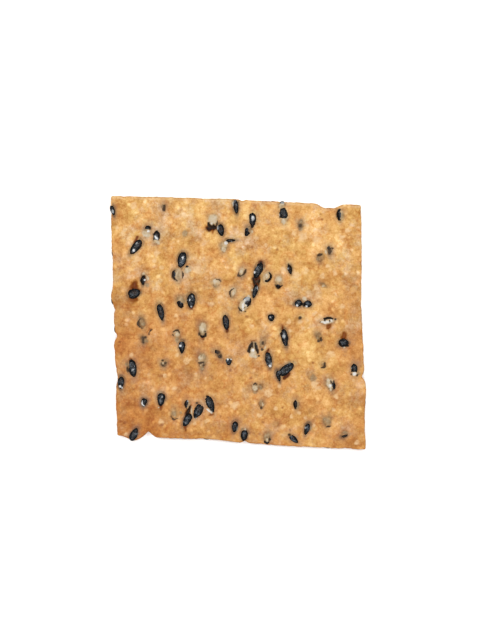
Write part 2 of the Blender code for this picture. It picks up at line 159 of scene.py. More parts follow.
# Where the middle lies, the heading of the pointed end, length and width, the share of the seed
# that lies bare and the heading that it is bare towards, the tone of the dough over the rest
# (0 dark, 1 pale) and how strongly the seed shows through that. Where a row ends at the width,
# the seed lies bare all over.
Seed = namedtuple("Seed", "x y heading length width bare side tone show", defaults=(1.0, 0, 0.1, 1.0))
SEEDS = [
    Seed(*row)
    for row in (
        (-24.25, 21.6, -74, 2, 0.92), (-14.4, 22.1, -90, 1.3, 0.8, 0, 0, 0.2),
        (-17.6, 17.6, -102, 2.4, 1.2, 0.25, 90, 0.9), (-15.8, 16.4, -96, 2.8, 1.32, 0.65, 90, 0.9),
        (-19.8, 14.5, -128, 3.5, 1.59), (-0.5, 22.3, -84, 2.8, 1.1),
        (-4.9, 19.8, -99, 2.4, 1.8, 0, 0, 1.0), (-3.4, 17.8, -78, 2.5, 1.38), (-1.5, 15.8, 3, 1.9, 0.66),
        (-2.9, 14.6, -95, 2.1, 1.5, 0, 0, 0.75), (-10.3, 17.1, -90, 1.5, 1.35, 0, 0, 0.35, 0.35),
        (-10.9, 12.0, -104, 3.3, 1.72), (2.7, 19.75, -91, 3.0, 1.45, 0.95, -90, 0.3),
        (1.8, 17.6, -112, 2.1, 1.25, 0.55, -130, 0.2, 0.9), (8.7, 20.5, -81, 3.6, 1.65, 0.58, 90, 1.0),
        (8.4, 22.5, -99, 1.8, 1.2, 0.25, 90, 0.9), (11.9, 18.8, -90, 2.0, 1.45, 0, 0, 0.05),
        (19.6, 20.7, -90, 2.5, 1.43, 0.4, 180, 0.9), (17.6, 13.8, -82, 2.3, 1.35, 0, 0, 0.0),
        (15.7, 12.4, -90, 1.9, 1.5, 0, 0, 0.2, 0.6), (-18.4, 8.1, -93, 1.9, 0.88),
        (-20.1, 5.6, 14, 2.6, 1.95), (-15.0, 2.0, -78, 3.3, 1.34),
        (-18.6, -0.1, -76, 2.8, 1.35, 0, 0, 0.45, 0.9), (-11.8, 9.1, -82, 2.9, 1.9, 0.2, 180, 0.8),
        (-9.9, 10.1, -90, 1.9, 1.2, 0.1, 90, 1.0, 0.6), (-4.3, 7.6, -90, 1.8, 1.5, 0, 0, 0.9),
        (-9.1, 4.2, -94, 2.9, 1.75), (-11.2, 3.9, -85, 2.4, 1.49, 0.45, -110, 0.6),
        (-2.4, 0.0, -84, 3, 1.32), (-1.1, 5.8, -90, 2.1, 1.5, 0, 0, 0.9),
        (0.7, 9.6, -101, 2.1, 1.45, 0, 0, 0.9), (3.8, 10.0, -115, 3.3, 1.59), (3.2, 6.0, -105, 2.7, 1.04),
        (5.5, 8.8, -97, 2.3, 1.7, 0.2, -20, 0.85), (7.8, 7.9, -90, 2.4, 1.5, 0.15, -90, 0.9),
        (9.9, 10.2, -77, 1.9, 0.88), (1.2, 3.5, -121, 3.5, 1.87, 0.3, 45, 1.0),
        (6.3, 0.9, -90, 1.55, 1.38), (11.5, 3.7, 195, 1.7, 1.43), (13.4, 3.6, -15, 1.7, 1.43),
        (12.0, 1.0, -90, 1.4, 1.2, 0, 0, 0.4, 0.3), (16.4, 7.1, -22, 1.6, 0.7, 0, 0, 0.0, 0.5),
        (17.2, 0.35, 8, 2.8, 1.49, 0.24, 90, 1.0), (-18.3, -3.4, -84, 1.9, 1.2, 0, 0, 0.3, 0.9),
        (-20.5, -8.8, -76, 3.4, 1.80, 0.8, -15, 0.3), (-22.65, -11.6, -90, 2.45, 1.32),
        (-14.4, -7.9, -90, 1.6, 1.45, 0, 0, 0.25, 0.85), (-11.9, -2.5, -75, 2.3, 1.35, 0, 0, 0.8, 0.8),
        (-10.9, -4.75, -92, 2.5, 1.34), (-6.9, -1.5, -93, 3.2, 1.5, 0.22, -90, 0.8),
        (-7.0, -7.4, -90, 3.5, 1.7, 0, 0, 0.75), (-3.8, -6.2, -58, 2.3, 1.1, 0.12, 180, 0.1),
        (-1.9, -7.5, -90, 1.6, 1.25, 0.75, -90, 1.0), (3.0, -5.2, -82, 3.3, 1.65, 0, 0, 1.0),
        (4.7, -3.9, -99, 2.5, 1.15, 0, 0, 0.1), (5.8, -7.2, -79, 3.1, 1.38), (8.9, -3.0, -80, 3.5, 1.38),
        (9.25, -9.0, 38, 3.6, 1.75), (7.7, -10.3, -77, 2.2, 0.88), (3.3, -12.6, -90, 1.6, 1.35, 0, 0, 0.7),
        (4.3, -12.4, -90, 1.4, 1.0, 0, 0, 0.0, 0.8), (15.5, -2.6, -69, 2.2, 1.2, 0, 0, 0.15, 0.7),
        (20.3, -3.9, 0, 2.05, 1.65), (16.3, -8.2, -90, 1.7, 1.2, 0, 0, 0.3, 0.5),
        (22.3, -9.2, -92, 2.6, 1.32, 0.6, 90, 1.0), (17.8, -12.0, -74, 2.9, 1.87, 0.2, 0, 0.7),
        (-18.2, -15.4, -101, 1.65, 1.22), (-14.9, -14.8, -96, 2.6, 1.59),
        (-12.4, -17.6, -92, 2.3, 1.35, 0, 0, 0.5, 0.7), (-9.9, -15.8, -87, 1.8, 1.1, 0.5, 180, 0.8),
        (-9.9, -18.8, -118, 2.9, 1.5), (-7.8, -17.1, -114, 2.95, 1.75, 0.9, -150, 0.2),
        (-5.5, -15.7, -69, 3.4, 1.62, 0.85, 30, 1.0), (-0.7, -20.1, -99, 2.2, 1.22),
        (-20.15, -21.6, 64, 2.7, 1.50), (1.1, -21.8, -98, 2.2, 1.42),
        (5.5, -22.4, -92, 2.2, 1.32, 0.3, -90, 0.5), (10.6, -22.4, -43, 2.3, 1.1, 0.8, -45, 0.1),
        (13.2, -20.5, -107, 2.4, 1.1), (20.5, -21.8, 18, 1.3, 0.61),
        (20.3, -21.5, -90, 1.8, 1.5, 0, 0, 0.2, 0.5), (17.1, -19.0, -85, 2.3, 1.7, 0, 0, 0.4, 0.7),
        (11.1, -15.8, -90, 1.8, 1.1, 0.5, 180, 0.4), (4.5, -15.8, -90, 2.0, 1.2, 0, 0, 0.5, 0.7),
        (7.2, -19.6, -90, 1.3, 1.2, 0, 0, 0.6, 0.3), (13.9, -10.3, -83, 1.6, 1.35, 0, 0, 0.2, 0.35),
    )
]
SEED_THICKNESS = 0.95
SEED_TAPER = 0.20  # how much slimmer its point is than its middle
TAPER_REACH = 1.6  # how far out, in half lengths, that goes on
BARE_FROM = 0.3  # from this share on, a seed counts as bare
BARE_RISE = 0.36  # how far a bare seed stands over the dough
COVERED_RISE = 0.22
CUT_SEED_RISE = 0.10  # how far one that the cut lays open stands out
PITCH = 3  # how far seeds lean at the most, in degrees
ROLL = 7
WRINKLE = 0.06  # their unevenness, as a share of their size
FINE_WRINKLE = 0.02
RIDGE_FADE = (0.40, 0.90)  # where the paler ridge along the middle, its slate partly painted sheen, fades out, in half sizes

# The dough round a seed, in shares of the seed's half size where no unit is named
BARE_BLUR = 0.06  # how soft the border between bare and covered is
BARE_WOBBLE = 0.17  # how uneven it is
SIDE_WOBBLE = 1.5 * BARE_WOBBLE  # the same, where it runs over the seed
COVER_REACH = 1.12  # how far out the dough is lifted over a covered seed
COVER_WOBBLE = 0.16  # how uneven that is
COVER_THICKNESS = 0.04  # in millimetres
COVER_BLEND = 0.10  # how softly it meets the top, in millimetres
BED_DEPTH = 0.16  # how deep below its hull a bare seed's bed lies, in millimetres
FAR_BELOW = -9.0  # a height that nothing reaches
COVER_FADE = (0.70, 1.20)  # where the film over a seed ends
LINE_STRENGTH = 0.95  # the dark line round a bare seed
COVERED_LINE = 0.35  # its share round a covered one
LINE_START = 0.98
LINE_REACH = 0.38  # in millimetres
LINE_TONE = 0.05
HAZE_START = 0.8  # the grey haze round a seed
HAZE_REACH = 0.95  # in millimetres
LEAST_HAZE = 0.5  # its strength where a seed hardly shows
THIN_PATCHES = 0.45  # how much thinner the film is in patches
THIN_RIM = 0.80  # and at its rim
THIN_OUTWARD = (0.35, 0.95)  # where that rim sets in, outwards
THIN_ASIDE = (-0.1, 0.6)  # and towards the side that lies bare, or else the front

# Seeds of the underside, each in a shallow dent
UNDER_SEEDS = 22
UNDER_REACH = 20.5  # how far out they lie
UNDER_GAP = 4.6  # how far from each other and from the middle
UNDER_CLEAR = 0.04  # how far above the plane that the cracker rests on
UNDER_LENGTHS = (2.3, 3.3)
UNDER_WIDTHS = (1.2, 1.7)
DENT_DEPTH = 0.42
DENT_RADIUS = 1.55
DENT_FILM = 0.5  # how strong the film round such a seed is
DENT_TONE = 0.15
DENT_FADE = (0.8, 1.5)  # where it ends, in half sizes of the seed

# ---- colours of the dough

# Where the oven browned the top more (above 0) or less: x, y, radius, how much
PATCHES = (
    (-22.8, 21.7, 4.5, -0.25), (-9.3, 23.6, 4.0, -0.15), (-16.0, 12.0, 7.0, -0.15),
    (-18.5, 19.0, 4.5, -0.34), (22.5, 21.5, 3.5, 0.10), (0.1, 17.5, 5.0, 0.04), (-4.5, 11.0, 4.5, -0.18),
    (1.0, 8.5, 4.2, 0.20), (21.0, 10.0, 6.0, 0.14), (21.0, 0.5, 4.0, 0.12), (22.0, -20.0, 5.0, 0.10),
    (11.8, 8.8, 3.0, -0.25), (-19.0, 0.0, 5.0, 0.02), (-9.4, -1.0, 5.0, 0.14), (-22.8, -4.4, 3.2, 0.30),
    (9.0, -4.0, 7.5, -0.24), (22.0, -2.5, 4.5, 0.35), (0.5, -9.0, 5.0, -0.10), (-21.0, -21.0, 5.5, 0.22),
    (-14.2, -20.7, 3.0, 0.18), (-9.0, -19.0, 4.5, -0.20), (9.5, -18.0, 7.0, -0.16),
    (17.5, -16.5, 6.0, -0.24),
)
# How brown the whole top is at its middle, and how that changes for each millimetre to the right
# and to the back, so that it grows paler towards the back and the right
BROWNING = (0.375, -0.0078, -0.0184)
SIDE_BROWNING = 0.12  # more of it on the cut sides
UNDER_BROWNING = 0.10  # and on the underside
UNDER_PATCHES = 0.15  # its unevenness there

RIM_STRENGTH = 0.7  # the paler rim along the back edge
RIM_DEPTH = (0.75, 0.35)  # from how deep it sets in, and where it is full
RIM_GAPS = (-0.9, 0.2)  # from what noise on it shows, and where it is full

# Pale flecks of starch that stand out: x, y, size across
FLECKS = (
    (-20.1, 22.4, 1.21), (-17.4, 22.6, 0.78), (-22.3, 17.2, 0.86), (-23.4, 18.2, 0.69),
    (-15.9, 13.4, 1.05), (-16.3, 11.8, 0.78), (-15.7, 6.8, 0.86), (-14.9, 10.5, 0.78), (-19.6, 12.2, 1.15),
    (-8.0, 10.3, 1.3), (-5.3, 9.5, 0.78), (-5.3, 3.5, 0.86), (-3.6, 4.9, 0.69), (-12.0, 1.3, 0.69),
    (-10.5, 20.7, 0.78), (-9.2, 20.7, 0.78), (-2.4, 20.1, 0.69), (10.7, 17.2, 0.95), (5.3, 14.9, 0.78),
    (12.4, 16.5, 1.5), (15.1, 15.9, 1.35), (20.1, 16.5, 0.78), (21.1, 17.8, 0.78), (17.2, 10.9, 0.86),
    (13.0, 9.9, 1.0), (18.6, 9.5, 0.78), (16.1, 9.0, 0.78), (14.9, 6.6, 0.86), (15.3, 5.1, 0.78),
    (19.9, 3.0, 0.78), (10.1, 3.8, 0.69), (8.6, 10.3, 0.86), (11.1, 9.0, 1.56), (2.6, -0.7, 0.69),
    (9.7, 0.1, 0.78), (11.8, 0.1, 0.78), (13.2, 0.5, 0.69), (12.4, -1.1, 0.86), (9.9, -1.6, 0.69),
    (-9.9, -7.4, 1.15), (-11.8, -6.3, 0.69), (5.7, -13.6, 1.55), (17.8, -6.1, 1.25), (14.5, -12.0, 1.3),
    (7.8, -12.2, 0.78), (-14.2, -10.3, 0.69), (-21.7, -21.5, 0.69), (-20.6, -6.2, 0.69),
    (-14.9, -19.1, 0.78), (-12.2, -12.6, 0.69), (-15.1, -13.5, 0.69), (-0.7, -15.9, 1.2),
    (-6.0, -18.9, 0.69), (-8.4, -19.5, 0.69), (4.0, -17.9, 0.78), (7.2, -16.5, 0.69), (8.6, -20.1, 0.78),
    (10.2, -18.2, 0.69), (11.6, -17.4, 0.69), (18.7, -14.3, 0.78), (18.3, -16.8, 0.69),
    (22.8, -23.1, 0.78), (14.5, -19.9, 0.69), (12.8, -18.4, 0.69),
)
# Browner specks: x, y, size across
SPECKS = (
    (-11.3, 6.5, 0.5), (7.4, 14.0, 0.5), (2.6, 14.5, 0.5), (15.8, 20.9, 0.4), (16.1, 19.9, 0.4),
    (1.6, 1.1, 0.5), (-16.9, -1.4, 0.5), (-17.2, -2.2, 0.4), (-22.9, -3.7, 0.5), (-1.5, -9.2, 0.5),
    (14.4, -7.8, 0.5), (2.4, -10.7, 0.6), (-14.8, -19.7, 0.5), (-3.4, -18.1, 0.4), (-21.9, -19.4, 0.5),
    (-22.6, -19.0, 0.5), (8.5, -16.4, 0.4), (4.8, -19.2, 0.5), (4.1, -21.5, 0.5), (9.9, -20.7, 0.4),
)
SPOT_WOBBLE = 0.45  # how uneven the rims of flecks and specks are
FLECK_BLUR = 0.38  # and how soft
SPECK_BLUR = 0.40
FLECK_RISE = 0.03  # how far a fleck stands up

# Marks that the dough and its seeds leave on each other: veils of dough with a seed faint under
# them, pale skin, browned edges and cracks where the black hull shows. The glints are highlights
# painted on the seeds and the dough, a few of them white film. Each is x, y and half width; one
# that is drawn out has its other end after these, and how far its middle bows.
VEILS = (
    (-0.7, 23.4, 0.29), (-0.4, 22.8, 0.15, -0.3, 22.4), (-4.8, 19.3, 0.12, -4.9, 18.7),
    (-10.3, 17.2, 0.58), (12.0, 18.0, 0.40), (12.1, 19.6, 0.39), (19.9, 21.1, 0.29, 19.9, 20.2),
    (17.8, 13.9, 0.21), (15.3, 12.3, 0.42), (-17.6, 7.2, 0.46), (-18.3, -0.3, 0.40), (-11.1, 11.6, 0.17),
    (-10.7, 11.4, 0.17), (-11.5, 9.7, 0.37, -11.6, 8.6), (-10.7, 4.2, 0.50), (-9.9, 4.3, 0.19),
    (-4.3, 7.0, 0.31), (3.7, 10.8, 0.25, 3.4, 10.1), (4.9, 10.4, 0.19), (3.3, 6.6, 0.17),
    (1.4, 4.4, 0.12, 1.3, 3.9), (7.9, 7.6, 0.27), (5.5, 1.3, 0.13, 5.8, 1.6),
    (15.7, 7.6, 0.25, 16.8, 6.8, 0.33), (-17.6, -3.2, 0.23, -17.6, -3.9), (-17.9, -3.6, 0.19),
    (-11.8, -2.9, 0.46, -11.8, -3.8), (-11.0, -3.9, 0.19), (-11.7, -4.8, 0.19), (-21.5, -8.1, 0.35),
    (-22.3, -11.6, 0.17), (-6.6, -6.2, 0.31, -6.6, -7.1), (-7.0, -8.6, 0.35, -7.0, -9.1),
    (-8.0, -7.4, 0.19), (-2.3, -7.5, 0.19), (1.7, -5.2, 0.23), (4.3, -3.6, 0.27, 4.3, -4.5),
    (5.5, -7.9, 0.17), (4.1, -12.2, 0.29, 4.3, -12.9), (2.8, -13.3, 0.19, 3.7, -13.3, -0.33),
    (8.8, -2.0, 0.23), (7.8, -9.4, 0.29, 7.9, -9.8), (9.8, -7.7, 0.31), (20.0, -3.7, 0.17),
    (20.5, -3.6, 0.17), (15.2, -3.0, 0.29), (16.2, -8.1, 0.27), (23.2, -9.8, 0.35), (14.4, -10.7, 0.69),
    (-15.0, -14.7, 0.25, -15.0, -15.4), (-9.7, -16.0, 0.29), (-12.5, -17.6, 0.54), (-11.1, -17.4, 0.29),
    (-10.2, -19.3, 0.27), (-10.6, -19.1, 0.15), (-0.2, -20.1, 0.27, -0.3, -20.9), (0.7, -20.5, 0.31),
    (11.3, -22.1, 0.23), (13.9, -20.0, 0.23, 13.9, -20.7), (20.1, -21.2, 0.33, 21.0, -21.1),
    (17.3, -19.1, 0.54), (16.5, -18.6, 0.39), (11.5, -15.4, 0.23, 11.5, -16.0),
    (4.3, -15.1, 0.23, 4.2, -16.0), (-19.8, -21.5, 0.23), (-19.3, -21.4, 0.25),
)
PALE = (
    (-24.3, 21.7, 0.23, -24.2, 21.1), (-18.1, 17.1, 0.50), (-17.4, 16.8, 0.46),
    (-15.7, 15.5, 0.39, -15.3, 15.2), (-19.8, 15.1, 0.19, -19.4, 15.4), (-1.1, 23.3, 0.19, -1.1, 22.4),
    (-5.0, 19.8, 0.85), (-4.0, 18.6, 0.21, -4.0, 17.9), (-1.3, 15.5, 0.19), (-3.0, 14.4, 0.46, -2.7, 13.8),
    (2.75, 20.4, 0.36, 2.8, 19.7), (2.6, 17.5, 0.27), (8.5, 22.9, 0.37), (7.9, 21.0, 0.15, 7.9, 20.5),
    (8.6, 19.8, 0.42, 8.7, 19.1), (18.9, 20.3, 0.17), (16.8, 14.0, 0.25, 16.9, 13.2), (-18.3, 9.4, 0.34),
    (-17.8, 9.0, 0.23, -17.6, 8.0, 0.24), (-12.5, 8.9, 0.19), (-9.8, 10.1, 0.58),
    (-9.0, 5.2, 0.17, -8.8, 4.8), (-9.1, 3.1, 0.17), (-4.5, 7.9, 0.42), (-0.9, 6.0, 0.27, -1.1, 5.3),
    (0.5, 9.8, 0.35), (2.6, 6.2, 0.19), (3.6, 7.0, 0.13, 3.7, 6.3), (2.0, 5.0, 0.58, 0.6, 3.0),
    (2.1, 4.9, 0.27), (5.5, 9.3, 0.35, 5.4, 8.6), (7.8, 8.3, 0.50), (9.5, 10.4, 0.21), (12.7, 4.6, 0.42),
    (6.1, 1.0, 0.17), (16.2, 7.0, 0.23), (-11.8, -2.3, 0.37), (-20.6, -9.3, 0.15, -20.1, -8.9),
    (-20.0, -8.4, 0.15), (-14.5, -7.8, 0.21), (-7.0, -0.4, 0.52, -7.0, -1.7),
    (-7.4, -6.5, 0.42, -7.5, -7.1), (-7.3, -8.2, 0.17), (2.2, -5.4, 0.58, 3.3, -6.6, -0.15),
    (2.8, -3.9, 0.19, 2.8, -4.6), (5.2, -4.5, 0.17, 5.1, -5.1), (6.3, -7.9, 0.19), (3.2, -12.7, 0.48),
    (8.7, -2.7, 0.37), (8.8, -2.8, 0.19), (20.1, -4.8, 0.15, 20.6, -4.8),
    (15.9, 0.1, 0.29, 18.2, 0.3, -0.10), (17.3, -11.0, 0.39, 17.4, -12.4),
    (17.7, -12.5, 0.25, 17.8, -13.2), (21.7, -8.8, 0.15), (-14.7, -14.3, 0.19), (-15.4, -16.4, 0.17),
    (-9.8, -15.2, 0.17), (-8.9, -16.1, 0.17, -8.7, -18.3, -0.23), (-8.2, -18.4, 0.15), (1.3, -20.6, 0.21),
    (5.5, -22.4, 0.29, 5.5, -22.9), (12.9, -20.3, 0.21), (-5.9, -16.8, 0.24, -5.0, -17.5),
    (4.6, -15.5, 0.23, 4.7, -16.1),
)
BROWN = (
    (-14.3, 22.4, 0.31), (-14.4, 21.8, 0.39), (-20.7, 13.5, 0.17, -20.3, 13.2),
    (-19.0, 15.5, 0.19, -19.1, 14.7), (-0.7, 22.8, 0.19, -0.7, 22.2), (-4.1, 19.5, 0.19, -4.4, 18.5, 0.11),
    (-3.4, 18.0, 0.31), (-2.9, 18.1, 0.19), (-2.3, 15.7, 0.17, -1.6, 15.8, -0.34),
    (11.8, 18.5, 0.36, 12.0, 18.9), (7.9, 23.1, 0.15, 9.0, 23.1, 0.33), (8.0, 20.3, 0.23),
    (8.6, 20.6, 0.25), (17.9, 14.3, 0.17, 18.3, 14.3), (17.6, 14.2, 0.34, 17.5, 13.2),
    (15.2, 13.0, 0.31, 16.1, 13.1), (-20.0, 5.8, 0.42), (-15.0, 2.4, 0.27, -14.9, 1.3), (-15.2, 3.4, 0.19),
    (-19.0, 0.7, 0.27, -18.6, -1.1, -0.55), (-12.3, 10.0, 0.27, -11.8, 8.0, -0.59),
    (-10.9, 9.9, 0.17, -10.9, 8.4, 0.21), (-10.0, 10.8, 0.21), (-4.3, 8.3, 0.17, -3.4, 7.8, 0.22),
    (-0.8, 6.6, 0.17, -1.4, 4.8, -0.57), (-0.0, 9.6, 0.23, 0.5, 8.9, -0.28),
    (0.5, 9.0, 0.21, 1.4, 10.3, -0.22), (4.6, 11.0, 0.19), (3.7, 8.0, 0.25), (1.9, 3.7, 0.46),
    (1.2, 2.9, 0.17), (1.3, 2.1, 0.19), (-2.4, 1.2, 0.27, -2.4, 0.0), (12.6, 3.1, 0.17), (11.9, 0.9, 0.33),
    (18.6, 0.6, 0.23), (15.8, 0.1, 0.17), (-18.4, -2.8, 0.25, -18.3, -3.9), (-17.9, -2.9, 0.23),
    (-12.5, -1.8, 0.23, -11.3, -2.0, 0.42), (-12.8, -2.3, 0.15, -12.5, -2.6),
    (-21.4, -8.6, 0.23, -21.3, -9.5), (-20.8, -9.7, 0.15), (-22.6, -11.2, 0.25), (-14.1, -7.8, 0.29),
    (-14.9, -7.7, 0.15, -14.0, -8.3, -0.33), (-14.6, -7.3, 0.23), (-7.6, -1.9, 0.21, -7.3, -2.6, -0.12),
    (-7.8, -7.8, 0.23, -6.6, -7.7), (-6.7, -8.2, 0.23), (-4.0, -5.7, 0.37), (-3.5, -6.5, 0.40),
    (3.7, -5.8, 0.23), (3.9, -6.4, 0.19), (4.7, -3.6, 0.23, 4.7, -4.3), (4.6, -5.2, 0.29),
    (5.5, -6.6, 0.23), (2.8, -12.1, 0.19, 3.6, -12.0, 0.27), (8.9, -3.4, 0.19, 9.0, -4.1),
    (7.3, -9.5, 0.15, 7.4, -9.9), (15.8, -2.9, 0.29, 16.0, -3.6), (15.4, -3.6, 0.27),
    (16.6, -7.8, 0.31, 16.0, -8.7, 0.37), (17.8, -11.2, 0.21, 18.2, -12.6, 0.10), (21.8, -10.0, 0.17),
    (22.3, -8.9, 0.19), (-13.0, -18.0, 0.19, -11.8, -18.5, -0.45), (-7.5, -16.2, 0.21, -7.7, -16.9),
    (-8.0, -15.5, 0.23), (-6.9, -16.2, 0.19, -6.9, -16.9), (-6.1, -14.2, 0.17), (-0.7, -19.9, 0.23),
    (1.2, -21.7, 0.23), (6.0, -22.2, 0.21, 6.0, -22.8), (9.8, -21.6, 0.29), (10.4, -22.2, 0.19),
    (20.1, -22.1, 0.21, 20.9, -21.8), (16.9, -20.1, 0.17, 17.7, -20.0), (11.0, -16.6, 0.21),
    (4.4, -16.4, 0.29), (-17.3, -2.4, 0.13, -16.6, -1.3, 0.18), (2.6, -3.7, 0.25, 2.8, -5.0),
)
BLACK = (
    (-5.6, 18.8, 0.42, -4.5, 18.3), (2.5, -4.0, 0.30, 1.9, -5.5), (3.2, -3.9, 0.32, 3.7, -5.7),
    (-17.3, 18.4, 0.31, -17.0, 18.1), (-16.5, 17.0, 0.25, -15.3, 16.2, 0.51),
    (-5.8, 19.3, 0.19, -5.6, 18.4, -0.07), (-1.4, 15.8, 0.23, -0.9, 15.9), (2.6, 19.1, 0.27, 2.6, 18.3),
    (19.5, 21.6, 0.25, 19.6, 19.7, -0.47), (17.4, 14.4, 0.33), (-18.3, 8.8, 0.27, -18.3, 7.4, -0.34),
    (-18.3, 8.8, 0.27), (-11.5, 3.9, 0.35, -10.8, 3.1, -0.23), (2.8, 8.7, 0.23, 3.2, 7.3),
    (4.1, 8.3, 0.19, 3.9, 7.4), (1.6, 3.7, 0.19), (-0.0, 2.9, 0.19, 0.7, 2.2, -0.13),
    (5.8, 9.7, 0.23, 5.5, 7.9, 0.62), (5.4, 8.0, 0.27), (7.1, 7.3, 0.27, 8.4, 7.1, -0.47),
    (9.6, 11.2, 0.27, 10.0, 9.5, 0.29), (12.2, 3.5, 0.33, 12.9, 3.4), (2.0, 3.9, 0.18, 1.7, 3.0),
    (16.5, 0.72, 0.20, 18.1, 0.78, 0.12), (16.6, 0.4, 0.17, 16.8, 0.0), (17.6, 0.4, 0.15, 17.5, 0.1),
    (-7.3, -2.6, 0.27, -6.4, -1.7, -0.63), (2.0, -5.6, 0.27), (8.2, -2.2, 0.27),
    (19.8, -4.3, 0.23, 19.5, -3.7, 0.15), (20.6, -4.4, 0.25, 21.2, -4.5), (22.9, -10.2, 0.19),
    (-10.1, -15.2, 0.27, -10.2, -16.2), (5.0, -22.9, 0.23, 5.8, -23.1, -0.38),
    (11.0, -15.2, 0.29, 11.0, -16.4), (-9.4, -16.2, 0.22, -9.9, -17.8),
)
# Highlights painted on the seeds and the dough beside them, a few of them white film
GLINT = (
    (-17.4, 17.6, 0.25), (-16.1, 16.6, 0.23, -15.5, 16.0), (-20.3, 14.1, 0.21, -20.1, 13.6),
    (-5.2, 19.0, 0.25), (-2.4, 15.3, 0.37), (2.75, 20.3, 0.20), (-18.1, 8.2, 0.19),
    (-10.7, 12.7, 0.19, -10.8, 12.2), (-9.3, 4.4, 0.21, -9.5, 4.2), (3.1, 9.7, 0.21),
    (0.9, 3.7, 0.23, 0.8, 2.7), (1.5, 3.3, 0.19), (1.2, 4.3, 0.21), (0.9, 2.4, 0.17), (11.3, 3.3, 0.23),
    (13.1, 3.1, 0.23), (16.0, 0.1, 0.25, 17.4, 0.1, -0.08), (17.9, 0.4, 0.20), (-11.2, -4.5, 0.25),
    (-22.8, -12.3, 0.20), (-22.4, -12.6, 0.14), (-2.1, -7.1, 0.18), (-1.4, -7.1, 0.15), (2.8, -5.3, 0.31),
    (6.1, -8.4, 0.27), (17.7, -12.2, 0.25), (22.3, -9.9, 0.33), (-18.5, -15.1, 0.17, -18.1, -16.1, -0.27),
    (-6.2, -16.6, 0.17, -5.3, -17.3),
)
# Each kind, in the order that they lie on each other: its tone from black at -1 over film at 0 to 1
# to white at 2, which is the white of the painted highlights, how much it covers, and how far it
# lifts the dough
MARKS = (
    (VEILS, 0.60, 0.60, 0.02),
    (PALE, 1.10, 0.75, 0.03),
    (BROWN, -0.10, 0.90, -0.06),
    (BLACK, -0.70, 1.00, -0.14),
    (GLINT, 1.90, 0.90, 0.02),
)
MARK_TAPER = 0.5  # how much a drawn-out mark narrows to its ends
MARK_WOBBLE = 0.25  # how uneven its border is
MARK_BLUR = 0.35  # and how soft

# ---- how fine the meshes are

GRID_STEP = 0.205
EDGE_LINES = (0.0, 0.06, 0.14, 0.24, 0.37, 0.54)  # the closer lines by each edge
EDGE_FADE = 2.5  # how far in the bends of the edge die away
TOP_ROUND = 0.26  # the rounding of the cut side at its top
FOOT_ROUND = 0.20  # and at its foot
ROUND_ROWS = 3  # rows of faces in each rounding
WALL_ROWS = 7  # and between them
NOISE_TILE = 32  # lumps after which noise repeats
SEED_RINGS = 20
SEED_SIDES = 22
SEED_REACH = 3.0  # how far from its middle a seed can change the dough
MARK_REACH = 3.5  # and a mark, from its first end

# The light on the table, as a share of what makes flat white just white, and the white sheen
# that it leaves on the dough
LIGHT = 1.62
SHEEN = 0.014


def smoothstep(low, high, value):
    share = np.clip((value - low) / (high - low), 0, 1)
    return share * share * (3 - 2 * share)


def bell(distance, half_width):
    return np.exp(-((distance / half_width) ** 2))


def smooth_max(a, b, blend):
    share = np.clip(0.5 + 0.5 * (a - b) / blend, 0, 1)
    return b + (a - b) * share + blend * share * (1 - share)


def within(x, y, middle_x, middle_y, reach):
    """Picks the points of a square round a place, so that the rest is left alone."""
    return (np.abs(x - middle_x) < reach) & (np.abs(y - middle_y) < reach)


def noise(x, y, z, size, seed):
    """Smooth noise from -1 to 1 in lumps of about that size. Each seed turns it another way."""
    draw = np.random.default_rng(seed)
    lattice = draw.uniform(-1, 1, (NOISE_TILE,) * 3)
    turn = draw.uniform(0, 2 * math.pi)
    across = (x * math.cos(turn) - y * math.sin(turn), x * math.sin(turn) + y * math.cos(turn), z)
    scaled = np.stack(np.broadcast_arrays(*across), axis=-1) / size
    cell = np.floor(scaled).astype(int)
    share = smoothstep(0, 1, scaled - cell)
    total = 0.0
    for corner in product((0, 1), repeat=3):
        weight = np.prod(np.where(corner, share, 1 - share), axis=-1)
        i, j, k = np.moveaxis((cell + corner) % NOISE_TILE, -1, 0)
        total = total + weight * lattice[i, j, k]
    return total


def octaves(x, y, z, sizes, seed):
    """Noise of several sizes, each with its height."""
    return sum(height * noise(x, y, z, size, seed + k) for k, (size, height) in enumerate(sizes))


# ---- the sheet's outline and grid


def side_frame(first, last):
    """A side's first corner, the way it runs, the way out of the sheet, and its length."""
    start = np.array(CORNERS[first])
    along = np.array(CORNERS[last]) - start
    length = float(np.hypot(*along))
    along = along / length
    return start, along, np.array((-along[1], along[0])), length


def along_side(first, last, x, y):
    """How far along a side each place is, and how far in from the line between its corners."""
    start, along, outward, _ = side_frame(first, last)
    station = (x - start[0]) * along[0] + (y - start[1]) * along[1]
    return station, -(x - start[0]) * outward[0] - (y - start[1]) * outward[1]


def out_at(station, marks):
    return sum(mark.out * bell(station - mark.along, mark.half_width) for mark in marks)


def raggedness(station, side):
    """The fine unevenness of a cut side, another for each."""
    return octaves(station, 50.0 * side, 0.0, RAGGED, 70)


def grid_shares():
    """Where the grid has its lines, as shares of a side: evenly, and closer by both ends."""
    length = side_frame("back_left", "back_right")[3]
    near = np.array(EDGE_LINES)
    count = 2 * round((length - 2 * near[-1]) / GRID_STEP / 2)
    middle = np.linspace(near[-1], length - near[-1], count + 1)[1:-1]
    return np.concatenate([near, middle, length - near[::-1]]) / length


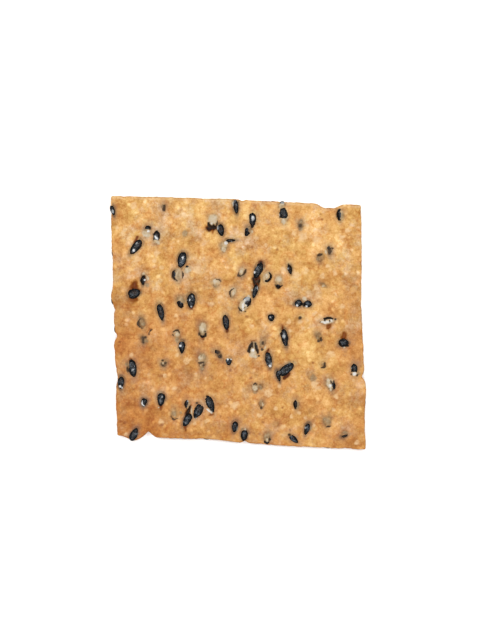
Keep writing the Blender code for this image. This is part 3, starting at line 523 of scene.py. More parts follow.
def grid_places():
    """x and y of the grid's points, which reach the outline less the rounding of its edge."""
    shares = grid_shares()
    u, v = np.meshgrid(shares, shares, indexing="ij")
    weights = {
        "front_left": (1 - u) * (1 - v),
        "front_right": u * (1 - v),
        "back_right": u * v,
        "back_left": (1 - u) * v,
    }
    x = sum(weight * CORNERS[corner][0] for corner, weight in weights.items())
    y = sum(weight * CORNERS[corner][1] for corner, weight in weights.items())
    moved_x, moved_y = x.copy(), y.copy()
    for side, (first, last, marks, _) in enumerate(SIDES):
        outward = side_frame(first, last)[2]
        station, depth = along_side(first, last, x, y)
        out = out_at(station, marks) + raggedness(station, side) - TOP_ROUND
        out = out * bell(depth, EDGE_FADE)
        moved_x += outward[0] * out
        moved_y += outward[1] * out
    return moved_x, moved_y


def ring_cells(count):
    """The grid's border, counterclockwise from above, starting at its front left corner."""
    last = count - 1
    cells = [(i, 0) for i in range(last)]
    cells += [(last, j) for j in range(last)]
    cells += [(i, last) for i in range(last, 0, -1)]
    cells += [(0, j) for j in range(last, 0, -1)]
    return cells


# ---- the seeds' own form


def seed_measures(seed, x, y):
    """How far along the seed a point is, from -1 to 1, and how far from its middle, 1 at its rim."""
    turn = math.radians(seed.heading)
    along = (x - seed.x) * math.cos(turn) + (y - seed.y) * math.sin(turn)
    across = (y - seed.y) * math.cos(turn) - (x - seed.x) * math.sin(turn)
    station = along / (0.5 * seed.length)
    side = across / (0.5 * seed.width * (1 - SEED_TAPER * np.clip(station, -TAPER_REACH, TAPER_REACH)))
    return station, np.hypot(station, side)


def seed_height(station, reach):
    """Height of a seed's upper side over its own middle."""
    taper = 1 - SEED_TAPER * np.clip(station, -1, 1)
    return 0.5 * SEED_THICKNESS * taper * np.sqrt(np.clip(1 - reach * reach, 0, None))


def seed_middle(seed):
    """The height of the middle of a seed of the top."""
    rise = BARE_RISE if seed.bare >= BARE_FROM else COVERED_RISE
    return float(waves(seed.x, seed.y)) + rise - 0.5 * SEED_THICKNESS


def under_places():
    """Seeds of the underside, drawn at random, clear of each other and of the middle."""
    draw = random.Random(37)
    places = []
    while len(places) < UNDER_SEEDS:
        x, y = draw.uniform(-UNDER_REACH, UNDER_REACH), draw.uniform(-UNDER_REACH, UNDER_REACH)
        length, width = draw.uniform(*UNDER_LENGTHS), draw.uniform(*UNDER_WIDTHS)
        heading = draw.uniform(0, 360)
        taken = [(0, 0)] + [(seed.x, seed.y) for seed in places]
        if min(math.dist((x, y), spot) for spot in taken) > UNDER_GAP:
            places.append(Seed(x, y, heading, length, width))
    return places


# ---- relief and tints of the top


def waves(x, y):
    """The top of the rolled dough without its fine relief."""
    total = THICKNESS
    for length, heading, height in TOP_WAVES:
        turn = math.radians(heading)
        run = x * math.cos(turn) + y * math.sin(turn)
        total = total + height * np.sin(2 * math.pi * run / length)
    return total


def fine_relief(x, y):
    """The leathery, grainy skin of the dough."""
    return octaves(x, y, 0.0, SKIN, 10)


def add_hollows(x, y, z, tints):
    """Sinks the hollows into the top and bakes them browner towards their floors."""
    wobble = 1 + HOLLOW_WOBBLE * noise(x, y, 0.0, 0.5, 31)
    for hollow in HOLLOWS:
        run = np.array((hollow.to_x - hollow.x, hollow.to_y - hollow.y))
        share = ((x - hollow.x) * run[0] + (y - hollow.y) * run[1]) / (run @ run)
        share = np.clip(share, 0, 1)
        away = np.hypot(x - hollow.x - share * run[0], y - hollow.y - share * run[1])
        away = away * wobble / (1 - HOLLOW_TAPER * share)
        z = z - hollow.depth * bell(away, hollow.radius)
        pit = smoothstep(*HOLLOW_RIM, away / hollow.radius)
        deep = FLOOR_SHARE * smoothstep(*HOLLOW_FLOOR, away / hollow.radius)
        baked = hollow.dark * (1 - FLOOR_SHARE + deep)
        tints["baked"] = np.where(pit > tints["pit"], baked, tints["baked"])
        tints["pit"] = np.maximum(tints["pit"], pit)
    return z


def bare_share(seed, x, y, reach):
    """1 where the seed lies bare, 0 where dough covers it, with an uneven border."""
    lumps = noise(x, y, 0.0, 0.55, 41)
    rim = 1 - smoothstep(1 - BARE_BLUR, 1 + BARE_BLUR, reach + BARE_WOBBLE * lumps)
    if seed.bare >= 1:
        return rim
    if seed.bare <= 0:
        return np.zeros_like(x)
    side = math.radians(seed.side)
    turn = side - math.radians(seed.heading)
    half = math.hypot(0.5 * seed.length * math.cos(turn), 0.5 * seed.width * math.sin(turn))
    ahead = ((x - seed.x) * math.cos(side) + (y - seed.y) * math.sin(side)) / half
    edge = 1 - 2 * seed.bare
    blur = 2 * BARE_BLUR
    return rim * smoothstep(edge - blur, edge + blur, ahead + SIDE_WOBBLE * lumps)


def seed_bed(seed, z, station, reach, bare):
    """The top's height round a seed: over it where dough covers it, under it where it is bare."""
    middle = seed_middle(seed)
    mound = middle + seed_height(station / COVER_REACH, reach / COVER_REACH) + COVER_THICKNESS
    lifted = smooth_max(z, np.where(reach < COVER_REACH, mound, FAR_BELOW), COVER_BLEND)
    bed = np.minimum(z, middle + seed_height(station, reach) - BED_DEPTH)
    return lifted + (bed - lifted) * bare


def tint_seed(seed, x, y, reach, bare, near, tints):
    """Tints the dough round a seed: a film over what it covers, a dark line and a grey haze."""
    half = 0.5 * seed.width
    covered = seed.bare < 1
    cover = (1 - bare) * (1 - smoothstep(*COVER_FADE, reach)) * seed.show * covered
    line = LINE_STRENGTH * (1 - bare) * (1 - smoothstep(LINE_START, 1 + LINE_REACH / half, reach))
    if covered:
        line = line * COVERED_LINE * seed.show
    film = np.maximum(cover, line)
    haze = (1 - smoothstep(HAZE_START, 1 + HAZE_REACH / half, reach)) * max(seed.show, LEAST_HAZE)
    tints["haze"][near] = np.maximum(haze, tints["haze"][near])

    turn = math.radians(seed.side if seed.side else -90)
    ahead = ((x - seed.x) * math.cos(turn) + (y - seed.y) * math.sin(turn)) / half
    rim = smoothstep(*THIN_OUTWARD, reach) * smoothstep(*THIN_ASIDE, ahead)
    thin = THIN_PATCHES * noise(x, y, 0.0, 0.5, 43) - THIN_RIM * rim
    tone = np.where(cover >= line, np.clip(seed.tone + thin, 0, 1), LINE_TONE)
    tints["tone"][near] = np.where(film > tints["film"][near], tone, tints["tone"][near])
    tints["film"][near] = np.maximum(film, tints["film"][near])
    tints["pit"][near] *= 1 - cover


def add_seed_beds(x, y, z, tints):
    """Lifts the dough over the covered seeds and opens it round the bare ones."""
    for seed in SEEDS:
        near = within(x, y, seed.x, seed.y, SEED_REACH)
        px, py = x[near], y[near]
        station, reach = seed_measures(seed, px, py)
        if seed.bare < 1:
            reach = reach * (1 + COVER_WOBBLE * noise(px, py, 0.0, 0.8, 42))
        bare = bare_share(seed, px, py, reach)
        z[near] = seed_bed(seed, z[near], station, reach, bare)
        tint_seed(seed, px, py, reach, bare, near, tints)
    return z


def browning(x, y):
    middle, right, back = BROWNING
    total = middle + right * x + back * y
    for patch_x, patch_y, radius, amount in PATCHES:
        total = total + amount * bell(np.hypot(x - patch_x, y - patch_y), radius)
    return total


def scattered(x, y, spots, blur):
    """1 in the middle of each listed spot, fading out at its uneven rim."""
    total = np.zeros_like(x)
    for spot_x, spot_y, size in spots:
        near = within(x, y, spot_x, spot_y, size)
        away = np.hypot(x[near] - spot_x, y[near] - spot_y) / (0.5 * size)
        away = away * (1 + SPOT_WOBBLE * noise(x[near], y[near], 0.0, 0.42, 51))
        total[near] = np.maximum(total[near], smoothstep(1 + blur, 1 - blur, away))
    return total


def mark_cover(x, y, from_x, from_y, half, to_x=None, to_y=None, bow=0.0):
    """1 in the middle of a mark, fading out at its uneven border."""
    if to_x is None:
        away = np.hypot(x - from_x, y - from_y)
    else:
        run_x, run_y = to_x - from_x, to_y - from_y
        length = math.hypot(run_x, run_y)
        along = ((x - from_x) * run_x + (y - from_y) * run_y) / length
        share = np.clip(along / length, 0, 1)
        bent = bow * 4 * share * (1 - share)
        side = ((y - from_y) * run_x - (x - from_x) * run_y) / length - bent
        away = np.hypot(side, along - share * length) / (1 - MARK_TAPER * (2 * share - 1) ** 2)
    away = away * (1 + MARK_WOBBLE * noise(x, y, 0.0, 0.4, 61))
    return smoothstep(1 + MARK_BLUR, 1 - MARK_BLUR, away / half)


def add_marks(x, y, z, tints):
    """Paints each kind of mark over the kinds before it, and lifts or sinks the dough there."""
    for rows, tone, strength, lift in MARKS:
        for row in rows:
            near = within(x, y, row[0], row[1], MARK_REACH)
            cover = strength * mark_cover(x[near], y[near], *row)
            under = tints["mark"][near] * (1 - cover)
            total = under + cover
            blend = under * tints["mark_tone"][near] + cover * tone
            tints["mark_tone"][near] = blend / np.maximum(total, 1e-6)
            tints["mark"][near] = total
            z[near] += lift * cover
    return z


TINTS = ("mark", "mark_tone", "haze", "film", "tone", "pit", "baked", "fleck", "speck", "toast")


def blank_tints(shape):
    return {name: np.zeros(shape) for name in TINTS}


def back_rim(x, y):
    """The paler rim along the back edge."""
    first, last, marks, _ = SIDES[0]
    station, depth = along_side(first, last, x, y)
    depth = depth + out_at(station, marks)
    gaps = smoothstep(*RIM_GAPS, noise(x, y, 0.0, 3.0, 61))
    return RIM_STRENGTH * smoothstep(*RIM_DEPTH, depth) * gaps


def top_surface(x, y):
    """Height and tints of the top."""
    tints = blank_tints(x.shape)
    z = waves(x, y) + fine_relief(x, y)
    z = add_hollows(x, y, z, tints)
    z = add_seed_beds(x, y, z, tints)
    tints["fleck"] = np.maximum(scattered(x, y, FLECKS, FLECK_BLUR), back_rim(x, y))
    tints["speck"] = scattered(x, y, SPECKS, SPECK_BLUR)
    tints["toast"] = browning(x, y)
    z = add_marks(x, y, z, tints)
    return z + FLECK_RISE * tints["fleck"], tints


# ---- the dough's mesh


def ring_outward(x, y):
    """The way out of the sheet at each point of a counterclockwise ring."""
    run_x, run_y = np.roll(x, -2) - np.roll(x, 2), np.roll(y, -2) - np.roll(y, 2)
    length = np.hypot(run_x, run_y)
    return run_y / length, -run_x / length


def wall_profile():
    """Rows down the cut side, from the top's rim to the foot: how far out, and how far down from
    the top's rim as a share, then in millimetres up from the foot."""
    turns = [0.5 * math.pi * (k + 1) / ROUND_ROWS for k in range(ROUND_ROWS)]
    shares = [(k + 1) / WALL_ROWS for k in range(WALL_ROWS)]
    rows = [(TOP_ROUND * math.sin(t), 0.0, -TOP_ROUND * (1 - math.cos(t))) for t in turns]
    rows += [(TOP_ROUND, down, FOOT_ROUND * down - TOP_ROUND * (1 - down)) for down in shares]
    for turn in turns:
        out = TOP_ROUND - FOOT_ROUND * (1 - math.cos(turn))
        rows.append((out, 1.0, FOOT_ROUND * (1 - math.sin(turn))))
    return rows


def wall_rows(x, y, z):
    """The rings of the cut side below the top's own rim, each with its tints."""
    out_x, out_y = ring_outward(x, y)
    made = []
    profile = wall_profile()
    for row, (out, share, lift) in enumerate(profile):
        height = z * (1 - share) + lift
        middle = math.sin(math.pi * (row + 1) / (len(profile) + 1))
        reach = out + octaves(x, y, height, CRUMB, 81) * middle
        height = height + octaves(x, y, height, STRAY, 83) * middle
        tints = blank_tints(x.shape)
        tints["toast"] = browning(x, y) + SIDE_BROWNING
        made.append((x + out_x * reach, y + out_y * reach, height, tints))
    return made


def under_surface(x, y):
    """Height and tints of the underside: flat, faintly pebbled, with a dent round each seed."""
    tints = blank_tints(x.shape)
    z = sum(height for _, height in PEBBLED) + octaves(x, y, 0.0, PEBBLED, 91)
    for seed in under_places():
        near = within(x, y, seed.x, seed.y, SEED_REACH)
        away = np.hypot(x[near] - seed.x, y[near] - seed.y)
        z[near] += DENT_DEPTH * np.clip(1 - (away / DENT_RADIUS) ** 2, 0, 1) ** 1.5
        film = DENT_FILM * (1 - smoothstep(*DENT_FADE, seed_measures(seed, x[near], y[near])[1]))
        tints["film"][near] = np.maximum(tints["film"][near], film)
        tints["tone"][near] = DENT_TONE
    tints["toast"] = browning(x, y) + UNDER_BROWNING + UNDER_PATCHES * noise(x, y, 0.0, 5.0, 93)
    return z, tints


def flat(x, y, z, tints):
    """A sheet of points and its tints, as plain rows."""
    return x.ravel(), y.ravel(), z.ravel(), {name: tint.ravel() for name, tint in tints.items()}


def dough_mesh():
    """The dough as one closed mesh: top, cut sides and underside."""
    x, y = grid_places()
    z, tints = top_surface(x, y)
    count = len(x)
    ring = ring_cells(count)
    ring_i, ring_j = np.array(ring).T

    blocks = [flat(x, y, z, tints)]
    blocks += wall_rows(x[ring_i, ring_j], y[ring_i, ring_j], z[ring_i, ring_j])

    inner = np.arange(2, count - 1, 2)
    under_x, under_y = x[np.ix_(inner, inner)], y[np.ix_(inner, inner)]
    blocks.append(flat(under_x, under_y, *under_surface(under_x, under_y)))

    faces = []
    index = np.arange(count * count).reshape(count, count)
    quads = np.stack([index[:-1, :-1], index[1:, :-1], index[1:, 1:], index[:-1, 1:]], axis=-1)
    faces += quads.reshape(-1, 4).tolist()

    upper = [int(index[i, j]) for i, j in ring]
    first = count * count
    for _ in range(len(blocks) - 2):
        lower = list(range(first, first + len(ring)))
        following = zip(upper, lower, lower[1:] + lower[:1], upper[1:] + upper[:1])
        faces += [list(four) for four in following]
        upper, first = lower, first + len(ring)

    foot = dict(zip(ring, upper))
    for a, i in enumerate(inner):
        for b, j in enumerate(inner):
            foot[(int(i), int(j))] = first + a * len(inner) + b
    for i in range(0, count - 1, 2):
        for j in range(0, count - 1, 2):
            around = [(i, j), (i, j + 1), (i, j + 2), (i + 1, j + 2)]
            around += [(i + 2, j + 2), (i + 2, j + 1), (i + 2, j), (i + 1, j)]
            faces.append([foot[cell] for cell in around if cell in foot])

    points = np.concatenate([np.stack(block[:3], axis=-1) for block in blocks])
    names = blocks[0][3]
    merged = {name: np.concatenate([block[3][name] for block in blocks]) for name in names}
    return points, faces, merged


# ---- the seeds' mesh


def seed_points():
    """A seed of unit size with its point along +X, and its faces."""
    turns = 2 * math.pi * np.arange(SEED_SIDES) / SEED_SIDES
    points = [(-1.0, 0.0, 0.0)]
    for k in range(1, SEED_RINGS):
        station = -math.cos(math.pi * k / SEED_RINGS)
        girth = math.sqrt(1 - station * station) * (1 - SEED_TAPER * station)
        points += [(station, girth * math.cos(turn), girth * math.sin(turn)) for turn in turns]
    points.append((1.0, 0.0, 0.0))
    faces = []
    for s in range(SEED_SIDES):
        n = (s + 1) % SEED_SIDES
        faces.append([0, 1 + n, 1 + s])
        for k in range(SEED_RINGS - 2):
            a, b = 1 + k * SEED_SIDES, 1 + (k + 1) * SEED_SIDES
            faces.append([a + s, a + n, b + n, b + s])
        top = 1 + (SEED_RINGS - 2) * SEED_SIDES
        faces.append([top + s, top + n, len(points) - 1])
    return np.array(points), faces


def turned(points, pitch, roll, heading):
    """Points leant by pitch about Y and roll about X, then turned to a heading, in degrees."""
    p, r, h = np.radians((pitch, roll, heading))
    lean_x = np.array(((1, 0, 0), (0, math.cos(r), -math.sin(r)), (0, math.sin(r), math.cos(r))))
    lean_y = np.array(((math.cos(p), 0, math.sin(p)), (0, 1, 0), (-math.sin(p), 0, math.cos(p))))
    turn = np.array(((math.cos(h), -math.sin(h), 0), (math.sin(h), math.cos(h), 0), (0, 0, 1)))
    return points @ (turn @ lean_y @ lean_x).T


def seed_places():
    """Every seed that shows: its middle, size, lean and heading."""
    draw = random.Random(23)
    places = []
    for seed in SEEDS:
        pitch, roll = draw.uniform(-PITCH, PITCH), draw.uniform(-ROLL, ROLL)
        if seed.bare > 0:
            middle = (seed.x, seed.y, seed_middle(seed))
            places.append((middle, seed.length, seed.width, pitch, roll, seed.heading))
    for first, last, marks, seeds in SIDES:
        start, along, outward, _ = side_frame(first, last)
        heading = math.degrees(math.atan2(along[1], along[0]))
        for seed in seeds:
            out = float(out_at(seed.along, marks)) + CUT_SEED_RISE - 0.5 * seed.width
            x, y = start + along * seed.along + outward * out
            middle = (x, y, THICKNESS * seed.share)
            places.append((middle, seed.length, seed.width, seed.lean, 0.0, heading))
    for seed in under_places():
        middle = (seed.x, seed.y, UNDER_CLEAR + 0.5 * SEED_THICKNESS)
        places.append((middle, seed.length, seed.width, 0.0, 0.0, seed.heading))
    return places


def seeds_mesh():
    """The seeds that show, in one mesh, each wrinkled in its own way and with its own shade."""
    draw = random.Random(29)
    unit, unit_faces = seed_points()
    points, faces, shades = [], [], []
    # The top middle of each seed, where its slate is partly painted sheen
    ridge = 1 - smoothstep(*RIDGE_FADE, np.hypot(unit[:, 0], unit[:, 1]))
    for which, (middle, length, width, pitch, roll, heading) in enumerate(seed_places()):
        size = 0.5 * np.array((length, width, SEED_THICKNESS))
        wrinkle = 1 + WRINKLE * noise(*(unit * size).T, 0.6, 100 + which)
        wrinkle += FINE_WRINKLE * noise(*(unit * size).T, 0.22, 300 + which)
        form = unit * size * wrinkle[:, None]
        first = len(points) * len(unit)
        points.append(turned(form, pitch, roll, heading) + middle)
        faces += [[first + i for i in face] for face in unit_faces]
        shades.append(np.full(len(unit), draw.random()))
    points = np.concatenate(points)
    tints = {name: np.zeros(len(points)) for name in ("mark", "mark_tone")}
    tints["shade"] = np.concatenate(shades)
    tints["ridge"] = np.tile(ridge, len(shades))
    # Paints the marks on the seeds too, the painted highlights of the glints among them
    add_marks(points[:, 0], points[:, 1], np.zeros(len(points)), tints)
    tints["mark"] *= smoothstep(0.5 * THICKNESS, THICKNESS, points[:, 2])
    return points, faces, tints


def add_piece(name, points, faces, tints, finish):
    """Makes a smooth piece of points in millimetres, with its tints as attributes."""
    mesh = bpy.data.meshes.new(name)
    mesh.from_pydata((points * MM).tolist(), [], faces)
    for tint, values in tints.items():
        mesh.attributes.new(tint, "FLOAT", "POINT").data.foreach_set("value", values.astype(np.float32))
    mesh.shade_smooth()
    mesh.materials.append(finish)
    mesh.validate()
    made = bpy.data.objects.new(name, mesh)
    bpy.context.scene.collection.objects.link(made)
    return made


# ---- materials


def seen(red, green, blue):
    """The base colour that looks like this 8-bit colour on a flat top under these lamps."""
    linear = [((c / 255 + 0.055) / 1.055) ** 2.4 for c in (red, green, blue)]
    return (*(max(c - SHEEN, 0.1 * c) / LIGHT for c in linear), 1.0)


def all_seen(colours):
    return [seen(*colour) for colour in colours]


def new_material(name):
    made = bpy.data.materials.new(name)
    made.use_nodes = True
    return made.node_tree, made.node_tree.nodes["Principled BSDF"], made


def put(tree, socket, value):
    if isinstance(value, bpy.types.NodeSocket):
        tree.links.new(value, socket)
    else:
        socket.default_value = value


def number(tree, operation, *values):
    made = tree.nodes.new("ShaderNodeMath")
    made.operation = operation
    for socket, value in zip(made.inputs, values):
        put(tree, socket, value)
    return made.outputs[0]


def fade(tree, value, low, high, to_low=0.0, to_high=1.0):
    """The value's smooth change from to_low at low to to_high at high."""
    made = tree.nodes.new("ShaderNodeMapRange")
    made.interpolation_type = "SMOOTHSTEP"
    for socket, given in zip(made.inputs, (value, low, high, to_low, to_high)):
        put(tree, socket, given)
    return made.outputs[0]


def times(tree, first, second):
    return number(tree, "MULTIPLY", first, second)


def uneven(tree, value, unevenness, share):
    """The value, moved up and down by noise round its own level."""
    lowered = number(tree, "SUBTRACT", value, 0.5 * share)
    return number(tree, "MULTIPLY_ADD", unevenness, share, lowered)


def mixed(tree, share, first, second, blend="MIX"):
    made = tree.nodes.new("ShaderNodeMix")
    made.data_type = "RGBA"
    made.blend_type = blend
    for socket, given in ((made.inputs[0], share), (made.inputs[6], first), (made.inputs[7], second)):
        put(tree, socket, given)
    return made.outputs[2]


def dyed(tree, colour, red, green, blue):
    return mixed(tree, 1.0, colour, (red, green, blue, 1.0), "MULTIPLY")


def tint(tree, name):
    made = tree.nodes.new("ShaderNodeAttribute")
    made.attribute_name = name
    return made.outputs["Fac"]


def place(tree):
    return tree.nodes.new("ShaderNodeTexCoord").outputs["Object"]


def mottle(tree, size, detail, roughness, other):
    """Noise whose largest lumps are about size millimetres across."""
    made = tree.nodes.new("ShaderNodeTexNoise")
    made.noise_dimensions = "4D"
    put(tree, made.inputs["Vector"], place(tree))
    settings = {"Scale": 1 / (size * MM), "Detail": detail, "Roughness": roughness, "W": other}
    for name, value in settings.items():
        made.inputs[name].default_value = value
    return made.outputs["Fac"]


def grains(tree, size, other):
    """Distance from the nearest grain's middle, in grain spacings, and a number for each grain."""
    made = tree.nodes.new("ShaderNodeTexVoronoi")
    made.voronoi_dimensions = "4D"
    put(tree, made.inputs["Vector"], place(tree))
    made.inputs["Scale"].default_value = 1 / (size * MM)
    made.inputs["W"].default_value = other
    return made.outputs["Distance"], made.outputs["Color"]


def cracks(tree, size, other):
    """Distance from the nearest line of a wavering network, in its spacings."""
    waver = tree.nodes.new("ShaderNodeTexNoise")
    put(tree, waver.inputs["Vector"], place(tree))
    waver.inputs["Scale"].default_value = 1 / (0.6 * size * MM)
    reach = 0.7 * size * MM
    away = dyed(tree, waver.outputs["Color"], reach, reach, reach)
    bent = mixed(tree, 1.0, place(tree), away, "ADD")
    made = tree.nodes.new("ShaderNodeTexVoronoi")
    made.voronoi_dimensions = "4D"
    made.feature = "DISTANCE_TO_EDGE"
    put(tree, made.inputs["Vector"], bent)
    made.inputs["Scale"].default_value = 1 / (size * MM)
    made.inputs["W"].default_value = other
    return made.outputs["Distance"]


def ramp(tree, value, positions, colours):
    made = tree.nodes.new("ShaderNodeValToRGB")
    elements = made.color_ramp.elements
    while len(elements) < len(positions):
        elements.new(0.5)
    for element, position, colour in zip(elements, positions, colours):
        element.position = position
        element.color = colour
    put(tree, made.inputs[0], value)
    return made.outputs[0]


def raise_bumps(tree, shader, *heights):
    """Chains bumps into the shader: each a height from 0 to 1 and its size in millimetres."""
    normal = None
    for height, size in heights:
        bump = tree.nodes.new("ShaderNodeBump")
        put(tree, bump.inputs["Height"], height)
        bump.inputs["Distance"].default_value = size * MM
        if normal:
            tree.links.new(normal, bump.inputs["Normal"])
        normal = bump.outputs["Normal"]
    tree.links.new(normal, shader.inputs["Normal"])


# The dough's own colours from dark to pale, then the colours that lie on it: flecks, specks, the
# haze round a seed, films over seeds from thin to thick, and hollows from their rims to their
# floors. All are as they look, in 8 bits. The palest is too bright to show until it is browned.
GOLDEN = ((195, 138, 74), (237, 188, 125), (268, 231, 178))
FLECK = (250, 210, 158)
SPECK = (140, 72, 34)
HAZE = (168, 138, 118)
FILM = ((70, 61, 52), (152, 132, 98), (212, 194, 160))
PIT = ((190, 122, 58), (130, 68, 28), (40, 27, 20))
# The marks' paints on the dough and on the seeds, from black over film to the white of the painted
# highlights
PAINT_STOPS = (0.0, 0.33, 0.5, 0.67, 1.0)
DOUGH_PAINTS = ((18, 17, 18), (84, 64, 46), (150, 124, 90), (212, 190, 154), (240, 238, 234))
SEED_PAINTS = ((14, 14, 16), (56, 46, 42), (92, 96, 102), (168, 170, 170), (244, 244, 242))
PAINT_UNEVENNESS = 0.40


def marked(tree, colour, unevenness, paints):
    """The colour with the marks painted over it. Their tones run from -1 to 2."""
    tone = number(tree, "MULTIPLY_ADD", tint(tree, "mark_tone"), 1 / 3, 1 / 3 - 0.5 * PAINT_UNEVENNESS)
    tone = number(tree, "MULTIPLY_ADD", unevenness, PAINT_UNEVENNESS, tone)
    paint = ramp(tree, tone, PAINT_STOPS, all_seen(paints))
    cover = uneven(tree, tint(tree, "mark"), unevenness, 0.5)
    return mixed(tree, fade(tree, cover, 0.05, 0.85), colour, paint)


def golden(tree, lumps, speckle):
    """The dough's own mottled colour, with small pale grains."""
    distance, chance = grains(tree, 1.25, 2.0)
    grain = times(tree, fade(tree, distance, 0.46, 0.10), fade(tree, chance, 0.35, 0.8))
    pale = number(tree, "MULTIPLY_ADD", lumps, 2.6, -1.70)
    clouds = mottle(tree, 6.0, 3.0, 0.6, 21.0)
    for part, share in ((grain, 0.62), (speckle, 0.76), (clouds, 0.8)):
        pale = number(tree, "MULTIPLY_ADD", part, share, pale)
    return ramp(tree, pale, (0.0, 0.5, 1.0), all_seen(GOLDEN))


def varied(tree, colour):
    """The colour with milky and rich patches, and weaker olive and ruddy ones."""
    milky = fade(tree, mottle(tree, 5.5, 4.5, 0.82, 25.0), 0.46, 0.66)
    colour = mixed(tree, milky, dyed(tree, colour, 1.05, 0.99, 0.77), dyed(tree, colour, 0.945, 1.03, 1.38))
    ruddy = fade(tree, mottle(tree, 4.0, 4.0, 0.75, 23.0), 0.38, 0.60)
    return mixed(tree, ruddy, dyed(tree, colour, 0.98, 1.02, 0.96), dyed(tree, colour, 1.02, 0.99, 1.02))


def browned(tree, colour, warm):
    """The colour with its fine creases and with the browning of the oven."""
    veins = fade(tree, cracks(tree, 1.5, 5.0), 0.15, 0.0)
    veins = times(tree, veins, fade(tree, mottle(tree, 2.0, 2.0, 0.5, 9.0), 0.42, 0.62))
    colour = mixed(tree, veins, colour, dyed(tree, colour, 0.88, 0.72, 0.55))
    toast = uneven(tree, tint(tree, "toast"), warm, 0.5)
    return mixed(tree, toast, colour, dyed(tree, colour, 0.71, 0.50, 0.31))


def dough_finish():
    """Baked dough: golden, mottled, flecked with starch, browner in its hollows, and tinted
    where a seed lies under a film of it."""
    tree, shader, made = new_material("baked_dough")
    lumps = mottle(tree, 2.6, 4.0, 0.90, 1.0)
    warm = mottle(tree, 9.0, 4.6, 0.84, 4.0)
    speckle = mottle(tree, 0.45, 3.5, 0.7, 7.0)
    colour = browned(tree, varied(tree, golden(tree, lumps, speckle)), warm)

    fleck = times(tree, tint(tree, "fleck"), fade(tree, speckle, 0.32, 0.60, 0.34, 0.80))
    colour = mixed(tree, fleck, colour, seen(*FLECK))
    colour = mixed(tree, times(tree, tint(tree, "speck"), 0.65), colour, seen(*SPECK))
    haze = times(tree, tint(tree, "haze"), fade(tree, warm, 0.30, 0.60, 0.58, 0.26))
    colour = mixed(tree, haze, colour, seen(*HAZE))

    film = ramp(tree, uneven(tree, tint(tree, "tone"), speckle, 0.5), (0.0, 0.5, 1.0), all_seen(FILM))
    film = mixed(tree, fade(tree, lumps, 0.40, 0.65, 0.05, 0.55), film, colour)
    colour = mixed(tree, times(tree, tint(tree, "film"), 0.92), colour, film)

    deep = uneven(tree, tint(tree, "baked"), speckle, 0.3)
    colour = mixed(tree, tint(tree, "pit"), colour, ramp(tree, deep, (0.0, 0.45, 1.0), all_seen(PIT)))
    colour = marked(tree, colour, speckle, DOUGH_PAINTS)
    tree.links.new(colour, shader.inputs["Base Color"])

    tree.links.new(fade(tree, speckle, 0.2, 0.8, 0.62, 0.44), shader.inputs["Roughness"])
    shader.inputs["Specular IOR Level"].default_value = 0.15
    raise_bumps(tree, shader, (lumps, 0.10), (speckle, 0.05))
    return made


# The hull of a seed, the slate patches on it, which over its top middle are partly painted sheen,
# and its pale dust, which is partly painted glints
HULL = (0.0030, 0.0032, 0.0040, 1.0)
SLATE_AND_SHEEN = (0.058, 0.070, 0.084, 1.0)
DUST_AND_GLINTS = (0.22, 0.23, 0.24, 1.0)


def seed_finish():
    """Black sesame: a blue-black satin hull with slate and pale dust on it. The slate on the top
    middle is partly painted sheen, and the dust is partly painted glints.
    """
    tree, shader, made = new_material("black_sesame")
    patches = mottle(tree, 0.62, 3.0, 0.75, 11.0)
    dust_and_glint_noise = mottle(tree, 0.20, 2.0, 0.7, 13.0)
    shade = number(tree, "MULTIPLY_ADD", tint(tree, "shade"), 0.7, 0.3)
    # Slate only over the top middle: partly slate skin, partly the painted sheen of the lamps
    slate_and_sheen = times(tree, fade(tree, patches, 0.49, 0.60), shade)
    colour = mixed(tree, times(tree, slate_and_sheen, tint(tree, "ridge")), HULL, SLATE_AND_SHEEN)
    # Pale dust, partly painted glints
    dust_and_glints = times(tree, fade(tree, dust_and_glint_noise, 0.60, 0.74), fade(tree, patches, 0.45, 0.60))
    colour = mixed(tree, times(tree, dust_and_glints, 0.75), colour, DUST_AND_GLINTS)
    colour = marked(tree, colour, dust_and_glint_noise, SEED_PAINTS)
    tree.links.new(colour, shader.inputs["Base Color"])
    tree.links.new(fade(tree, dust_and_glint_noise, 0.3, 0.7, 0.12, 0.26), shader.inputs["Roughness"])
    shader.inputs["Specular IOR Level"].default_value = 0.12
    raise_bumps(tree, shader, (patches, 0.08), (dust_and_glint_noise, 0.04))
    return made


def table_finish():
    tree, shader, made = new_material("white_table")
    cloudy = mottle(tree, 90.0, 2.0, 0.5, 17.0)
    white = ramp(tree, cloudy, (0.0, 1.0), ((0.95, 0.95, 0.95, 1.0), (0.97, 0.97, 0.97, 1.0)))
    tree.links.new(white, shader.inputs["Base Color"])
    shader.inputs["Roughness"].default_value = 0.8
    raise_bumps(tree, shader, (mottle(tree, 2.0, 2.0, 0.5, 19.0), 0.01))
    return made


# ---- table, light and camera

# The photograph is in pixels, the sensor in millimetres and the rest in metres
TABLE_SIZE = 6.0
PHOTO_HEIGHT = 640
PIXELS_PER_MM = 5.19
CRACKER_PIXEL = (238.5, 322.5)
PHOTO_MIDDLE = (240.0, 320.0)
CAMERA_DISTANCE = 0.5
SENSOR = 36.0
WORLD_LIGHT = 0.50
# Place, size, share of the light on the table: three lamps high round it, the strongest behind
# on the left, and a small one by the camera that glints on the seeds
LAMPS = (
    ((-0.24, 0.18, 0.66), 0.25, 0.38),
    ((0.26, 0.16, 0.66), 0.25, 0.29),
    ((0.02, -0.30, 0.66), 0.25, 0.29),
    ((-0.02, 0.05, 0.80), 0.08, 0.16),
)


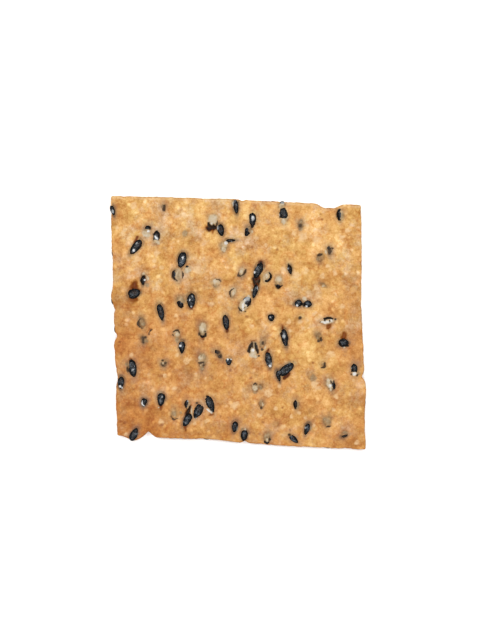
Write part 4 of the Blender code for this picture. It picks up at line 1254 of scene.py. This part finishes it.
def add_table():
    half = 0.5 * TABLE_SIZE
    mesh = bpy.data.meshes.new("table")
    corners = [(-half, -half, 0), (half, -half, 0), (half, half, 0), (-half, half, 0)]
    mesh.from_pydata(corners, [], [(0, 1, 2, 3)])
    mesh.materials.append(table_finish())
    table = bpy.data.objects.new("table", mesh)
    bpy.context.scene.collection.objects.link(table)


def add_lamps():
    for count, (spot, size, share) in enumerate(LAMPS):
        lamp = bpy.data.lights.new(f"lamp_{count}", "AREA")
        lamp.shape = "DISK"
        lamp.size = size
        lamp.energy = share * math.pi**2 * Vector(spot).length ** 3 / spot[2]
        made = bpy.data.objects.new(f"lamp_{count}", lamp)
        made.location = spot
        made.rotation_euler = (-Vector(spot)).to_track_quat("-Z", "Y").to_euler()
        bpy.context.scene.collection.objects.link(made)
    world = bpy.data.worlds.new("white_room")
    world.use_nodes = True
    sky = world.node_tree.nodes["Background"]
    sky.inputs["Color"].default_value = (1.0, 1.0, 1.0, 1.0)
    sky.inputs["Strength"].default_value = WORLD_LIGHT
    bpy.context.scene.world = world


def add_camera():
    """Straight above, with the photograph's up along +Y."""
    lens = bpy.data.cameras.new("camera")
    lens.sensor_width = SENSOR
    lens.lens = SENSOR * CAMERA_DISTANCE * PIXELS_PER_MM / (PHOTO_HEIGHT * MM)
    camera = bpy.data.objects.new("camera", lens)
    x = (PHOTO_MIDDLE[0] - CRACKER_PIXEL[0]) / PIXELS_PER_MM * MM
    y = (CRACKER_PIXEL[1] - PHOTO_MIDDLE[1]) / PIXELS_PER_MM * MM
    camera.location = (x, y, CAMERA_DISTANCE + THICKNESS * MM)
    bpy.context.scene.collection.objects.link(camera)
    bpy.context.scene.camera = camera


def main():
    dough = add_piece("cracker_dough", *dough_mesh(), dough_finish())
    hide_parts("cracker")
    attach(dough, "root")
    seeds = add_piece("sesame_seeds", *seeds_mesh(), seed_finish())
    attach(seeds, "root")
    add_table()
    add_lamps()
    add_camera()
    bpy.context.scene.view_settings.view_transform = "Standard"


main()
